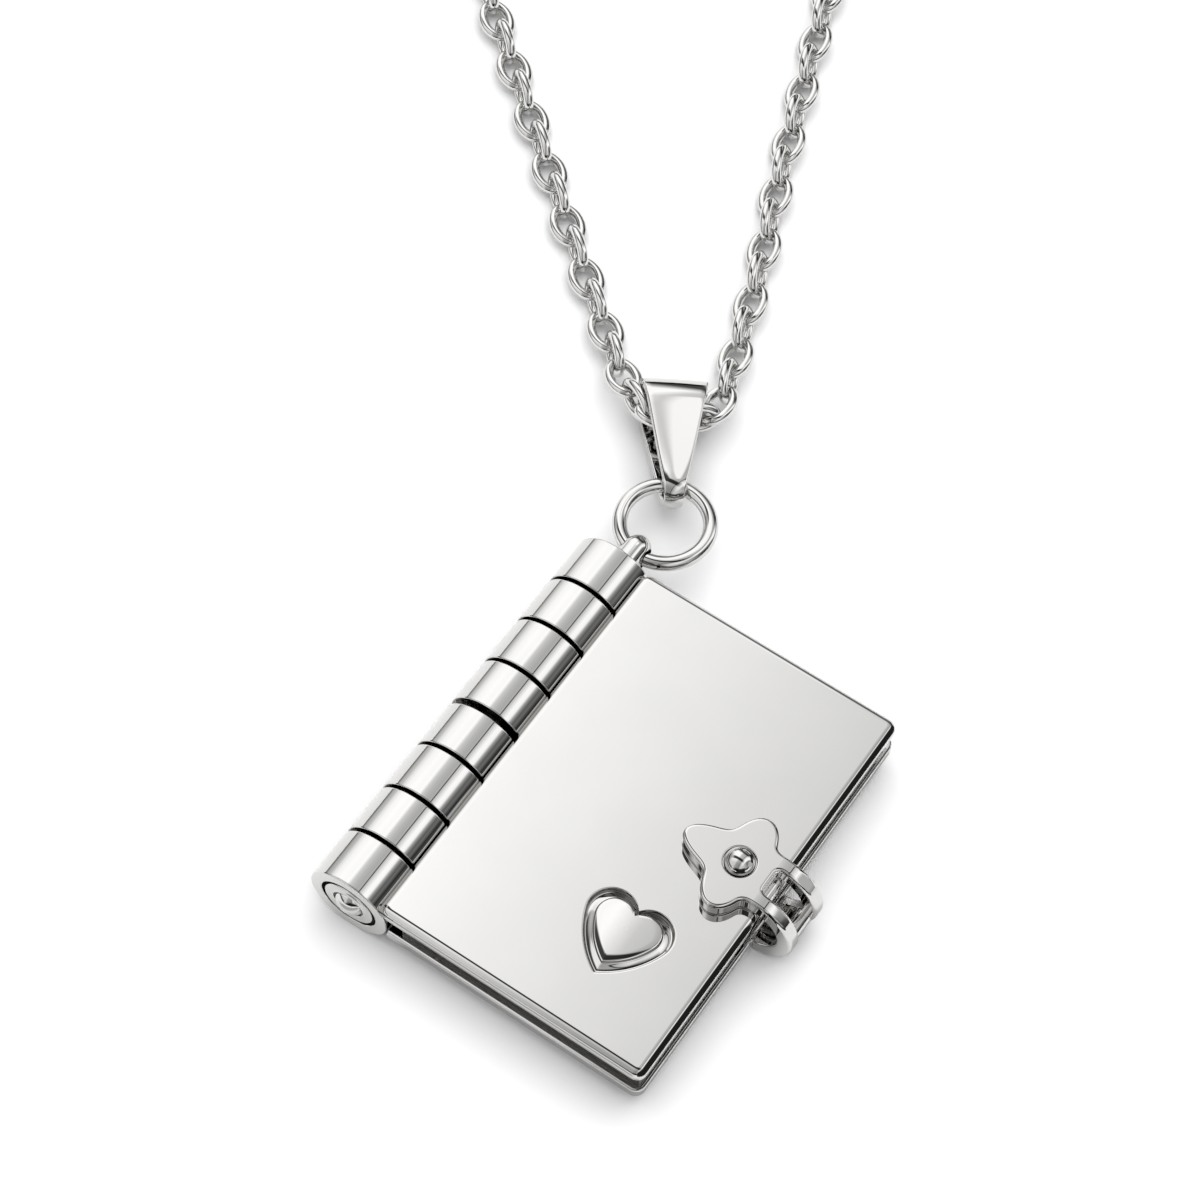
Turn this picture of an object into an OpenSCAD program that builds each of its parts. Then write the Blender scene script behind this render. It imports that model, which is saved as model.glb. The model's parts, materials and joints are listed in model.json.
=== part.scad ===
// Book locket on a link chain, lying closed and clasped on a flat surface.
// A cover's own axes: x from the spine edge to the fore edge, y from foot to head, z up.
// The whole lies turned by book_turn, so that the chain runs away along +y.

/* [Covers] */
// Length of the covers from foot to head
cover_l = 25; // [20:0.5:32]
// Width of the covers from the spine edge to the fore edge
cover_w = 16.5; // [15:0.5:22]
// Height of the closed covers from outside to outside
closed_h = 3.5; // [3.4:0.1:4.2]
// Thickness of the front cover's plate
front_t = 0.95; // [0.8:0.05:1.1]
// Thickness of the back cover's plate
back_t = 1.4; // [1.1:0.05:1.5]
// Corner radius of the covers seen from above
corner_r = 1; // [0.6:0.1:1.4]
// Rounding of the outer edges
edge_r = 0.45; // [0.3:0.05:0.5]
// Rounding of the inner edges
inner_edge_r = 0.15; // [0.1:0.05:0.2]
// Clearance between pieces that close on each other
close_gap = 0.06; // [0.05:0.01:0.1]

/* [Frames inside the covers] */
// Width of each frame's wall
frame_w = 0.8; // [0.6:0.1:1.2]
// Inset of the frames from head and foot
frame_inset = 0.6; // [0.4:0.1:1]
// Inset of the frames from the fore edge
frame_fore_inset = 0.95; // [0.95:0.05:1.4]
// Inset of the frames from the spine edge
frame_spine_inset = 1.1; // [0.9:0.1:1.6]

/* [Spine hinge] */
// Outer radius of the knuckles
knuckle_r = 2.45; // [2.45:0.05:2.6]
// Number of knuckles, an even count
knuckles = 8; // [4:2:12]
// Distance of the hinge axis outside the covers' spine edge
hinge_out = 1.95; // [1.9:0.05:2.2]
// Gap between neighbouring knuckles
knuckle_gap = 0.22; // [0.15:0.01:0.3]
// Gap between the two middle knuckles
middle_gap = 0.4; // [0.25:0.05:0.6]
// Chamfer on the ends of each knuckle
knuckle_chamfer = 0.12; // [0.05:0.01:0.2]
// Clearance between knuckles and the other cover
knuckle_clear = 0.1; // [0.08:0.01:0.15]
// Radius of the hinge pin
pin_r = 1; // [0.7:0.05:1.2]
// Radial running clearance of the hinge pin
pin_clear = 0.04; // [0.02:0.01:0.08]
// Radius of the pin's flat head
pin_head_r = 1.58; // [1.4:0.02:1.65]
// Thickness of the pin's flat head
pin_head_t = 0.6; // [0.4:0.1:1]
// Width of the groove round the pin's head
pin_groove = 0.16; // [0.1:0.02:0.3]
// Radius of the dome on the pin's head
pin_dome_r = 0.92; // [0.6:0.02:1.1]
// Height of the dome on the pin's head
pin_dome_h = 0.35; // [0.2:0.05:0.6]

/* [Heart on the front cover] */
// Width of the heart's outer edge
heart_w = 5.1; // [4:0.1:6]
// Width of the raised heart inside it
heart_inner_w = 3.8; // [2.8:0.1:3.8]
// Depth of the moat between the two
heart_moat = 0.4; // [0.2:0.05:0.5]
// Distance of the heart's middle from the spine edge
heart_x = 11.2; // [8:0.1:12]
// Distance of the heart's lobes from the foot edge
heart_y = 6.88; // [6:0.1:8]

/* [Clasp] */
// Thickness of the clasp's flap
flap_t = 0.93; // [0.8:0.01:1]
// Gap between the flap and the front cover
flap_gap = 0.07; // [0.05:0.01:0.1]
// Height of the clasp's middle above the foot edge
flap_y = 12.68; // [11:0.1:14]
// Distance of the flower's middle from the fore edge
flower_back = 2.35; // [2.2:0.05:3]
// Mean radius of the flower
flower_r = 2.5; // [2:0.1:2.8]
// Depth of the flower's lobes
flower_lobe = 0.5; // [0.2:0.05:0.7]
// Extra reach of the flower's pointed lobe
flower_tip = 0.45; // [0.2:0.05:0.8]
// Width of the strap
strap_w = 3.3; // [3:0.1:4]
// Width of the window in the strap
window_w = 1.6; // [1.3:0.1:1.8]
// Distance of the curl's middle inside the fore edge
curl_in = 0.55; // [0.4:0.05:0.6]
// Angle below level at which the curl ends
curl_end = 68; // [60:1:70]
// Radius of the cross bar
bar_r = 0.52; // [0.4:0.02:0.6]
// Angle below level of the cross bar on the curl
bar_angle = 24; // [20:1:30]
// Clearance round the cross bar in its saddle
bar_clear = 0.08; // [0.05:0.01:0.1]
// Clearance beside the saddle tab in the window
tab_clear = 0.1; // [0.08:0.01:0.15]
// Radius of the snap ball
ball_r = 0.85; // [0.7:0.05:1]
// Clearance between the ball and its round recess
ball_recess = 0.12; // [0.08:0.01:0.2]
// Depth of the ball's middle below the flap's top
ball_sink = 0.15; // [0:0.01:0.25]
// Thickness of the flap under the ball
ball_floor = 0.35; // [0.25:0.01:0.5]
// Radius of the ball's stem
stem_r = 0.35; // [0.25:0.01:0.4]
// Depth of the stem's tip in the front cover
snap_depth = 0.18; // [0.1:0.01:0.25]

/* [Ring and bail] */
// Outer radius of the jump ring
ring_r = 3; // [2.8:0.1:3.4]
// Radius of the jump ring's wire
ring_wire_r = 0.43; // [0.35:0.01:0.48]
// Width of the lug at the head of the spine
lug_w = 1.36; // [1.2:0.02:1.6]
// Height of the lug
lug_h = 2; // [1.7:0.1:2.2]
// Length of the lug beyond the spine
lug_l = 2.4; // [2.2:0.1:2.8]
// Radius of the hole through the lug
lug_hole_r = 0.6; // [0.56:0.01:0.65]
// Width of the bail at its fold
bail_w = 3.75; // [3.2:0.05:4.2]
// Width of the bail at its tip
bail_tip_w = 1.05; // [0.9:0.05:1.4]
// Thickness of the bail's strip
bail_t = 0.43; // [0.35:0.01:0.5]
// Inner radius of the bail's fold
bail_fold_r = 1.42; // [1.4:0.01:1.6]
// Distance from the ring's wire to the middle of the fold
bail_l = 5.25; // [4.5:0.05:6]
// Play of the ring's wire in the bail's tip
bail_play = 0.25; // [0.2:0.01:0.3]
// Roll of the bail about its length
bail_roll = 8; // [0:1:10]

/* [Chain] */
// Width of the chain
chain_w = 2; // [1.6:0.1:2.1]
// Radius of the chain's plain clasp
end_clasp_r = 1.5; // [1.2:0.1:2]
// Length of the chain's plain clasp
end_clasp_l = 12; // [8:1:16]

/* [Hidden] */
$fn = 48;
steel = "#c9c9cb";
bright_steel = "#dededf";
// How far cutting shapes run past the faces that they cut
over = 0.5;

// Turn of the book seen from above
book_turn = 31.7;

// Heights in the book
axis_z = knuckle_r;
back_z = axis_z - closed_h / 2;
front_z = back_z + closed_h;
back_top_z = back_z + back_t;
front_low_z = front_z - front_t;
parting_z = (back_top_z + front_low_z) / 2;

// Spine hinge
axis_x = -hinge_out;
knuckle_pitch = cover_l / knuckles;
cut_r = knuckle_r + knuckle_clear;
bore_r = pin_r + pin_clear;
head_bore_r = pin_head_r + pin_groove;
end_wall = 0.7;
web_inset = 0.25;
web_reach = 1;

// Clasp
flap_low_z = front_z + flap_gap;
flap_top_z = flap_low_z + flap_t;
flower_x = cover_w - flower_back;
curl_x = cover_w - curl_in;
curl_z = back_z + closed_h / 2 + 0.1;
curl_outer_r = flap_top_z - curl_z;
curl_inner_r = flap_low_z - curl_z;
bar_path_r = curl_outer_r - bar_r - 0.05;
bar_x = curl_x + bar_path_r * cos(bar_angle);
bar_z = curl_z - bar_path_r * sin(bar_angle);
tail_r = flap_t / 2;
tail_path_r = curl_inner_r + tail_r;
tail_x = curl_x + tail_path_r * cos(curl_end);
tail_z = curl_z - tail_path_r * sin(curl_end);
window_in = 0.05;
window_r = 0.3;
band_w = (strap_w - window_w) / 2;
bar_hold = 0.2;
stem_clear = 0.04;
seat_gap = 0.02;
relief_r = norm([bar_x - tail_x, bar_z - tail_z]) + tail_r + 0.1;
ball_z = flap_top_z - ball_sink;
ball_seat_z = flap_low_z + ball_floor;
tab_in = 0.6;

// Ring and bail, from the middle of the ring
ring_path_r = ring_r - ring_wire_r;
ring_x = axis_x + 0.65;
ring_side = 0.35;
lug_x = ring_x - ring_side;
lug_hole_y = cover_l + 1.5;
ring_y = lug_hole_y + ring_path_r - 0.07;
bail_side = 0.38;
bail_fold_z = bail_fold_r + bail_t + 0.35;
bail_tip_r = ring_wire_r + bail_play;

// Places on the surface, in the chain's direction
function turned(p) = [p[0] * cos(book_turn) + p[1] * sin(book_turn),
                      -p[0] * sin(book_turn) + p[1] * cos(book_turn)];
ring_at = turned([ring_x, ring_y]);
bail_at = [ring_at[0] + bail_side, ring_at[1] + ring_path_r - bail_play / 2];
bend_at = [bail_at[0], bail_at[1] + bail_l];

// Route of the chain from one side of its clasp round to the other, chosen by hand, from the
// middle of the bail's fold: x, y, height, and share of the chain's radius, slimmer in the bail
chain_r = chain_w / 2;
far_y = 196;
route = [
    [end_clasp_l / 2, far_y, end_clasp_r, 1], [19, 193, 1.2, 1], [33, 180, 1, 1], [41, 158, 1, 1],
    [41, 132, 1, 1], [33, 102, 1, 1], [20, 68, 1, 1], [10.6, 41, 1, 1], [6.4, 22, 1, 1],
    [4.6, 11.2, 1, 1], [3.5, 5.7, 1.1, 0.9], [2.8, 2, 1.6, 0.75], [1.8, -0.2, 1.9, 0.68],
    [0, -0.3, 2.1, 0.68],
    [-1.8, -0.2, 2.4, 0.68], [-3, 2, 1.9, 0.75], [-4.1, 5.7, 1.2, 0.9], [-6.1, 11.5, 1, 1],
    [-9.8, 22.5, 1, 1], [-16.5, 42, 1, 1], [-28, 73, 1, 1], [-38, 104, 1, 1], [-43, 134, 1, 1],
    [-42, 160, 1, 1], [-34, 181, 1, 1], [-19, 193, 1.2, 1], [-end_clasp_l / 2, far_y, end_clasp_r, 1]
];
steps = 3;
chain_sides = 8;

function curve(a, b, c, d, t) = 0.5 * (2 * b + (c - a) * t + (2 * a - 5 * b + 4 * c - d) * t * t
                                       + (3 * b - a - 3 * c + d) * t * t * t);
function at(points, i) = points[max(0, min(len(points) - 1, i))];
function placed(p) = [bend_at[0] + p[0], bend_at[1] + p[1], max(chain_r * p[3], p[2])];
shares = [
    for (i = [0 : len(route) - 2], k = [0 : steps - 1])
        curve(at(route, i - 1), route[i], route[i + 1], at(route, i + 2), k / steps),
    route[len(route) - 1]
];
centres = [for (p = shares) placed(p)];

// The origin: the middle of the whole on the surface
low_x = min([for (p = centres) p[0]]) - chain_r;
high_x = max([for (p = centres) p[0]]) + chain_r;
low_y = turned([cover_w - corner_r, corner_r])[1] - corner_r;
high_y = bend_at[1] + far_y + end_clasp_r;
middle = [(low_x + high_x) / 2, (low_y + high_y) / 2, 0];

module on_surface() {
    translate(-middle) children();
}

module as_book() {
    on_surface() rotate([0, 0, -book_turn]) children();
}

// Points of an arc
function arc(x, y, r, from, to, n) = [
    for (i = [0 : n]) let (a = from + (to - from) * i / n) [x + r * cos(a), y + r * sin(a)]
];

// A rectangle with its own rounding at the low and the high corners
module rounded(w, h, low_r, high_r) {
    n = 6;
    polygon(concat(
        arc(low_r, low_r, low_r, 180, 270, n),
        arc(w - low_r, low_r, low_r, 270, 360, n),
        arc(w - high_r, h - high_r, high_r, 0, 90, n),
        arc(high_r, h - high_r, high_r, 90, 180, n)
    ));
}

// A cylinder along y, from one y to another
module along_y(x, z, r, from, to) {
    translate([x, from, z]) rotate([-90, 0, 0]) cylinder(r = r, h = to - from);
}

// A cover's plate, rounded in plan and along its outer and inner edges
module plate(z, t, low_r, high_r) {
    difference() {
        intersection() {
            translate([0, 0, z]) linear_extrude(t) rounded(cover_w, cover_l, corner_r, corner_r);
            translate([0, cover_l, z]) rotate([90, 0, 0]) linear_extrude(cover_l)
                rounded(cover_w, t, low_r, high_r);
            translate([0, 0, z]) rotate([90, 0, 90]) linear_extrude(cover_w)
                rounded(cover_l, t, low_r, high_r);
        }
        along_y(axis_x, axis_z, cut_r, -over, cover_l + over);
    }
}

// The frame inside a cover, hollow for a picture
module frame(z, t) {
    w = cover_w - frame_fore_inset - frame_spine_inset;
    l = cover_l - 2 * frame_inset;
    translate([frame_spine_inset, frame_inset, z]) difference() {
        cube([w, l, t]);
        translate([frame_w, frame_w, -over]) cube([w - 2 * frame_w, l - 2 * frame_w, t + 2 * over]);
    }
}

// Limits of knuckle i along the spine, counted from the foot
function gap_at(i) = i == knuckles / 2 ? middle_gap : knuckle_gap;
function knuckle_from(i) = i * knuckle_pitch + (i == 0 ? 0 : gap_at(i) / 2);
function knuckle_to(i) = (i + 1) * knuckle_pitch - (i == knuckles - 1 ? 0 : gap_at(i + 1) / 2);

module knuckle(i) {
    from = knuckle_from(i);
    h = knuckle_to(i) - from;
    c = knuckle_chamfer;
    translate([axis_x, from, axis_z]) rotate([-90, 0, 0]) rotate_extrude()
        polygon([[0, 0], [knuckle_r - c, 0], [knuckle_r, c], [knuckle_r, h - c], [knuckle_r - c, h], [0, h]]);
}

// The web that joins a knuckle to its cover's plate, between two heights
module web(i, from_z, to_z) {
    translate([axis_x + bore_r + web_inset, knuckle_from(i), from_z])
        cube([hinge_out - bore_r - web_inset + web_reach, knuckle_to(i) - knuckle_from(i), to_z - from_z]);
}

// Room for the ends of the clasp's bands as the flap turns
module band_relief() {
    for (side = [-1, 1])
        along_y(bar_x, bar_z, relief_r,
            flap_y + side * (strap_w + window_w) / 4 - band_w / 2 - tab_clear * 0.7,
            flap_y + side * (strap_w + window_w) / 4 + band_w / 2 + tab_clear * 0.7);
}

// Round-ended lug at the head of the spine, with the hole for the jump ring
module lug() {
    side_r = lug_w / 2;
    flat_r = lug_h / 2;
    translate([lug_x, cover_l - over, axis_z]) difference() {
        intersection() {
            translate([-side_r, 0, -flat_r]) linear_extrude(lug_h) union() {
                square([lug_w, lug_l + over - side_r]);
                translate([side_r, lug_l + over - side_r]) circle(side_r);
            }
            translate([-side_r, 0, 0]) rotate([90, 0, 90]) linear_extrude(lug_w) union() {
                translate([0, -flat_r]) square([lug_l + over - flat_r, lug_h]);
                translate([lug_l + over - flat_r, 0]) circle(flat_r);
            }
        }
        translate([-side_r - over, lug_hole_y - cover_l + over, 0]) rotate([0, 90, 0])
            cylinder(r = lug_hole_r, h = lug_w + 2 * over);
    }
}

// Tab at the fore edge with the open saddle for the clasp's cross bar
module saddle_tab() {
    w = window_w - 2 * tab_clear;
    seat_r = bar_r + bar_clear;
    low_z = back_z + 0.15;
    high_z = back_top_z - 0.15;
    difference() {
        intersection() {
            translate([cover_w - tab_in, flap_y - w / 2, low_z])
                cube([bar_x + 0.35 - cover_w + tab_in, w, high_z - low_z]);
            along_y(curl_x, curl_z, curl_outer_r - 0.05, flap_y - w, flap_y + w);
        }
        along_y(bar_x, bar_z, seat_r, flap_y - w, flap_y + w);
        translate([bar_x - seat_r, flap_y - w, bar_z]) cube([3 * seat_r, 2 * w, closed_h]);
    }
}

module back_cover() {
    color(steel) as_book() union() {
        difference() {
            union() {
                plate(back_z, back_t, edge_r, inner_edge_r);
                frame(back_top_z - inner_edge_r, parting_z - close_gap / 2 - back_top_z + inner_edge_r);
                for (i = [1 : 2 : knuckles - 1]) {
                    knuckle(i);
                    web(i, back_z + web_inset, back_z + back_t - edge_r);
                }
            }
            along_y(axis_x, axis_z, bore_r, -over, cover_l - end_wall);
            band_relief();
        }
        saddle_tab();
        lug();
    }
}

// A heart's outline: two round lobes over two long arcs that meet in the tip
module heart(w) {
    lobe_r = w * 0.2784;
    lobe_x = w / 2 - lobe_r;
    side = 20;
    shift = lobe_x * 3.564;
    long_r = lobe_r + shift;
    union() {
        for (m = [-1, 1]) translate([m * lobe_x, 0]) circle(lobe_r);
        intersection() {
            translate([lobe_x - shift * cos(side), shift * sin(side)]) circle(long_r, $fn = 96);
            translate([shift * cos(side) - lobe_x, shift * sin(side)]) circle(long_r, $fn = 96);
            translate([-w, -2 * w - lobe_r * sin(side)]) square([2 * w, 2 * w]);
        }
    }
}

module front_cover() {
    inner = heart_inner_w / heart_w;
    color(bright_steel) as_book() difference() {
        union() {
            plate(front_low_z, front_t, inner_edge_r, edge_r);
            translate([0, 0, parting_z + close_gap / 2])
                frame(0, front_low_z + inner_edge_r - parting_z - close_gap / 2);
            for (i = [0 : 2 : knuckles - 1]) {
                knuckle(i);
                web(i, front_low_z + 0.1, front_z - web_inset);
            }
        }
        along_y(axis_x, axis_z, bore_r, -over, cover_l + over);
        along_y(axis_x, axis_z, head_bore_r, -over, pin_head_t + pin_clear);
        translate([heart_x, heart_y, front_z - heart_moat]) linear_extrude(heart_moat + over) difference() {
            heart(heart_w);
            translate([0, -0.1]) heart(heart_inner_w);
        }
        translate([flower_x, flap_y, front_z - snap_depth - 0.1])
            cylinder(r = stem_r + 0.2, h = snap_depth + over);
        band_relief();
    }
}

// Hinge pin with a flat head and a dome that show at the foot of the spine
module spine_pin() {
    dome_big_r = (pin_dome_r * pin_dome_r + pin_dome_h * pin_dome_h) / (2 * pin_dome_h);
    color(bright_steel) as_book() translate([axis_x, 0, axis_z]) rotate([-90, 0, 0]) union() {
        cylinder(r = pin_head_r, h = pin_head_t);
        cylinder(r = pin_r, h = cover_l - end_wall - 0.1);
        intersection() {
            translate([0, 0, dome_big_r - pin_dome_h]) sphere(dome_big_r);
            translate([0, 0, -pin_dome_h]) cylinder(r = pin_head_r, h = pin_dome_h + 0.1);
        }
    }
}

// Flower outline: four lobes by a cosine, the one toward the spine drawn out to a point
function flower_radius(a) = flower_r + flower_lobe * cos(4 * a)
    + flower_tip * pow(max(0, 1 - abs(a - 180) / 40), 1.5);

module flower() {
    polygon([for (a = [0 : 4 : 356]) flower_radius(a) * [cos(a), sin(a)]]);
}

// Side outline of the strap: level over the cover, curled round the fore edge, with a round end
module strap_side() {
    polygon(concat(
        [[flower_x, flap_low_z], [flower_x, flap_top_z]],
        arc(curl_x, curl_z, curl_outer_r, 90, -curl_end, 26),
        arc(tail_x, tail_z, tail_r, -curl_end - 20, -curl_end - 160, 7),
        arc(curl_x, curl_z, curl_inner_r, -curl_end, 90, 22)
    ));
}

module clasp_flap() {
    window_x = curl_x + window_in;
    window_l = curl_outer_r + over;
    color(bright_steel) as_book() difference() {
        union() {
            difference() {
                union() {
                    translate([flower_x, flap_y, flap_low_z]) linear_extrude(flap_t) flower();
                    translate([0, flap_y + strap_w / 2, 0]) rotate([90, 0, 0]) linear_extrude(strap_w)
                        strap_side();
                }
                translate([window_x, flap_y - window_w / 2, 0]) linear_extrude(flap_top_z + over)
                    rounded(window_l, window_w, window_r, window_r);
            }
            along_y(bar_x, bar_z, bar_r, flap_y - window_w / 2 - bar_hold, flap_y + window_w / 2 + bar_hold);
        }
        translate([flower_x, flap_y, ball_seat_z]) cylinder(r = ball_r + ball_recess, h = flap_t);
        translate([flower_x, flap_y, flap_low_z - over]) cylinder(r = stem_r + stem_clear, h = flap_t + 2 * over);
    }
}

module snap_ball() {
    low_z = front_z - snap_depth;
    color(bright_steel) as_book() translate([flower_x, flap_y, 0]) union() {
        intersection() {
            translate([0, 0, ball_z]) sphere(ball_r);
            translate([0, 0, ball_seat_z + seat_gap]) cylinder(r = 2 * ball_r, h = 3 * ball_r);
        }
        translate([0, 0, low_z]) cylinder(r = stem_r, h = ball_z - low_z);
    }
}

module jump_ring() {
    color(steel) as_book() translate([ring_x, ring_y, axis_z]) rotate_extrude($fn = 96)
        translate([ring_path_r, 0]) circle(ring_wire_r, $fn = 32);
}

// Outline round two circles, seen along the bail's width: the ring's wire and the fold
module teardrop(wire_r, fold_r) {
    rise = bail_fold_z - axis_z;
    tilt = atan2(rise, bail_l);
    spread = acos((fold_r - wire_r) / norm([bail_l, rise]));
    polygon(concat(
        arc(0, 0, wire_r, tilt + 180 - spread, tilt + 180 + spread, 14),
        arc(bail_l, rise, fold_r, tilt + spread - 180, tilt + 180 - spread, 20)
    ));
}

module bail() {
    tip = bail_tip_r + bail_t;
    top = bail_l + bail_fold_r + bail_t;
    color(bright_steel) on_surface() translate([bail_at[0], bail_at[1], axis_z]) rotate([0, bail_roll, 0])
        intersection() {
            rotate([90, 0, 90]) translate([0, 0, -bail_w]) linear_extrude(2 * bail_w) difference() {
                teardrop(tip, bail_fold_r + bail_t);
                teardrop(bail_tip_r, bail_fold_r);
            }
            translate([0, 0, -bail_w]) linear_extrude(2 * bail_w) polygon([
                [-bail_tip_w / 2, -tip - 0.1], [bail_tip_w / 2, -tip - 0.1],
                [bail_w / 2, top + 0.1], [-bail_w / 2, top + 0.1]
            ]);
        }
}

// One ring of the chain's tube, square to the route
function ring_points(i) =
    let (ahead = at(centres, i + 1) - at(centres, i - 1),
         along = i == 0 || i == len(centres) - 1 ? [1, 0, 0] : ahead / norm(ahead),
         side = cross(along, [0, 0, 1]) / norm(cross(along, [0, 0, 1])),
         up = cross(side, along))
    [for (k = [0 : chain_sides - 1])
        let (a = 360 * k / chain_sides)
            centres[i] + chain_r * shares[i][3] * (cos(a) * side + sin(a) * up)];

module chain() {
    n = len(centres);
    s = chain_sides;
    color(steel) on_surface() polyhedron(
        points = [for (i = [0 : n - 1]) each ring_points(i)],
        faces = concat(
            [[for (k = [s - 1 : -1 : 0]) k]],
            [[for (k = [0 : s - 1]) (n - 1) * s + k]],
            [for (i = [0 : n - 2], k = [0 : s - 1])
                [i * s + k, i * s + (k + 1) % s, (i + 1) * s + (k + 1) % s, (i + 1) * s + k]]
        )
    );
}

// Plain clasp that joins the chain's two ends
module chain_clasp() {
    half = end_clasp_l / 2;
    neck = 1.2;
    color(steel) on_surface() translate([bend_at[0] - half, bend_at[1] + far_y, end_clasp_r])
        rotate([0, 90, 0]) rotate_extrude() polygon([
            [0, 0], [chain_r + 0.1, 0], [end_clasp_r, neck], [end_clasp_r, 2 * half - neck],
            [chain_r + 0.1, 2 * half], [0, 2 * half]
        ]);
}

back_cover();
front_cover();
spine_pin();
clasp_flap();
snap_ball();
jump_ring();
bail();
chain();
chain_clasp();
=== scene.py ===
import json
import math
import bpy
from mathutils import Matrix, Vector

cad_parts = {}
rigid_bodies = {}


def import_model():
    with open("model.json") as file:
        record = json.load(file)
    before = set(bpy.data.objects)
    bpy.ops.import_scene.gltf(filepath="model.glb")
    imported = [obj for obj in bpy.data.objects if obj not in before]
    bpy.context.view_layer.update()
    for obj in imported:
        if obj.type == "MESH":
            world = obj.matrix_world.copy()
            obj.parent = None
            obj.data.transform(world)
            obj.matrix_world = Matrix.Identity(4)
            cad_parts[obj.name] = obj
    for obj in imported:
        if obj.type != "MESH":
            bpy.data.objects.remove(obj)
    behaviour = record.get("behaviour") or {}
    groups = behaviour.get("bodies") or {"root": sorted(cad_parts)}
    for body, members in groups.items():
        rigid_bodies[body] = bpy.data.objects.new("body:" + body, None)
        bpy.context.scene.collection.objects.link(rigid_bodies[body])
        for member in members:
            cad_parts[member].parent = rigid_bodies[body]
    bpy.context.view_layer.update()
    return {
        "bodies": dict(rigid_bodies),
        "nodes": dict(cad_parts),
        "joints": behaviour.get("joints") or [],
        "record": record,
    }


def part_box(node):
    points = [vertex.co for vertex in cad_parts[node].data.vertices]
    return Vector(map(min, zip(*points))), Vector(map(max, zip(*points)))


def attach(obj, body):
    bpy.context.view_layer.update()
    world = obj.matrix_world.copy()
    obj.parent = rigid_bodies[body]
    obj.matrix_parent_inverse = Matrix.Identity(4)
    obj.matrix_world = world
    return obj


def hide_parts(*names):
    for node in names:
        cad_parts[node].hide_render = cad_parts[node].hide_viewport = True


bl_info = {
    "name": "Book locket",
    "version": (1, 0, 0),
    "blender": (4, 5, 0),
    "location": "View3D > Sidebar > Locket",
    "description": "Builds a book-shaped locket on a link chain around its CAD frame",
    "category": "Object",
}

from types import SimpleNamespace

import bmesh
import bpy
from bpy.props import FloatProperty, FloatVectorProperty, IntProperty, PointerProperty
from mathutils import Matrix, Vector

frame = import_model()

# Everything is modelled in millimetres and made metres when it is finished
MM = 0.001
UP = Vector((0, 0, 1))
# Vertices closer than this, in millimetres, are welded, and edges sharper than this stay sharp
WELD = 1e-5
SHARP = math.radians(38)
# Distance in millimetres of the loop that holds a flat face's edge beside a rounding
SUPPORT = 0.02
# Material numbers that mark faces until a piece is finished; SHADED faces take the darker steel that paints shade into
# recesses and gaps
DISC, SHADED = 1, 2


def millimetres(group):
    """The lengths of a property group in millimetres, and its other numbers as they are."""
    values = {}
    for name in group.__annotations__:
        value = getattr(group, name)
        unit = group.bl_rna.properties[name].unit
        values[name] = value / MM if unit == "LENGTH" else value
    return SimpleNamespace(**values)


def length(name, description, millimetre):
    return FloatProperty(name=name, description=description, default=millimetre * MM, min=0, precision=5,
                         unit="LENGTH")


def angle(name, description, degrees):
    return FloatProperty(name=name, description=description, default=math.radians(degrees), subtype="ANGLE")


def tint(name, description, *levels):
    return FloatVectorProperty(name=name, description=description, default=levels, subtype="COLOR", min=0, max=1)


# Sizes


class LocketCoverSizes(bpy.types.PropertyGroup):
    long: length("Length", "Length of the covers from foot to head", 25)
    wide: length("Width", "Width of the covers from the spine edge to the fore edge", 16.5)
    closed: length("Closed height", "Height of the closed covers", 3.5)
    front_plate: length("Front plate", "Thickness of the front cover's plate", 0.8)
    back_plate: length("Back plate", "Thickness of the back cover's plate", 1.4)
    corner: length("Corner", "Corner radius seen from above", 0.6)
    edge: length("Outer edge", "Rounding of the outer edges", 0.45)
    back_edge: length("Back edge", "Height of the rounding round the back plate's underside", 1.0)
    inner_edge: length("Inner edge", "Rounding of the inner edges", 0.15)
    gap: length("Gap", "Clearance between the two frames", 0.06)
    frame: length("Frame wall", "Width of each frame's wall", 0.8)
    frame_inset: length("Frame inset", "Inset of the frames from head and foot", 0.6)
    frame_fore: length("Fore inset", "Inset of the frames from the fore edge", 0.4)
    frame_spine: length("Spine inset", "Inset of the frames from the spine edge", 1.1)


class LocketSpineSizes(bpy.types.PropertyGroup):
    radius: length("Knuckle radius", "Outer radius of the knuckles", 2.45)
    count: IntProperty(name="Knuckles", description="Number of knuckles", default=8, min=4, max=12)
    out: length("Axis out", "Distance of the hinge axis outside the covers", 1.95)
    gap: length("Knuckle gap", "Gap between neighbouring knuckles", 0.22)
    middle_gap: length("Middle gap", "Gap between the two middle knuckles", 0.4)
    rim: length("Knuckle rim", "Rounding at the ends of each knuckle", 0.08)
    clear: length("Clearance", "Clearance between knuckles and the other cover", 0.1)
    bore: length("Bore", "Radius of the bore for the pin", 1.04)
    pin: length("Pin", "Radius of the hinge pin", 1.0)
    head: length("Pin head", "Radius of the pin's flat head", 1.54)
    head_thick: length("Head thickness", "Thickness of the pin's flat head", 0.6)
    groove: length("Groove", "Width of the groove round the pin's head", 0.2)
    dome: length("Dome", "Radius of the dome on the pin's head", 0.84)
    dome_high: length("Dome height", "Height of the dome on the pin's head", 0.46)
    end_wall: length("End wall", "Closed end of the bore at the head", 0.7)


class LocketHeartSizes(bpy.types.PropertyGroup):
    wide: length("Width", "Width of the heart's outer edge", 5.1)
    inner: length("Inner width", "Width of the raised heart inside the moat", 3.8)
    deep: length("Moat", "Depth of the moat", 0.25)
    dome: length("Dome", "Height of the raised heart over the plate", 0.13)
    swell: length("Swell", "Distance from the raised heart's middle at which its swell ends", 2.5)
    across: length("From the spine", "Distance of the heart's middle from the spine edge", 11.2)
    along: length("From the foot", "Distance of the heart's lobes from the foot", 6.88)


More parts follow.
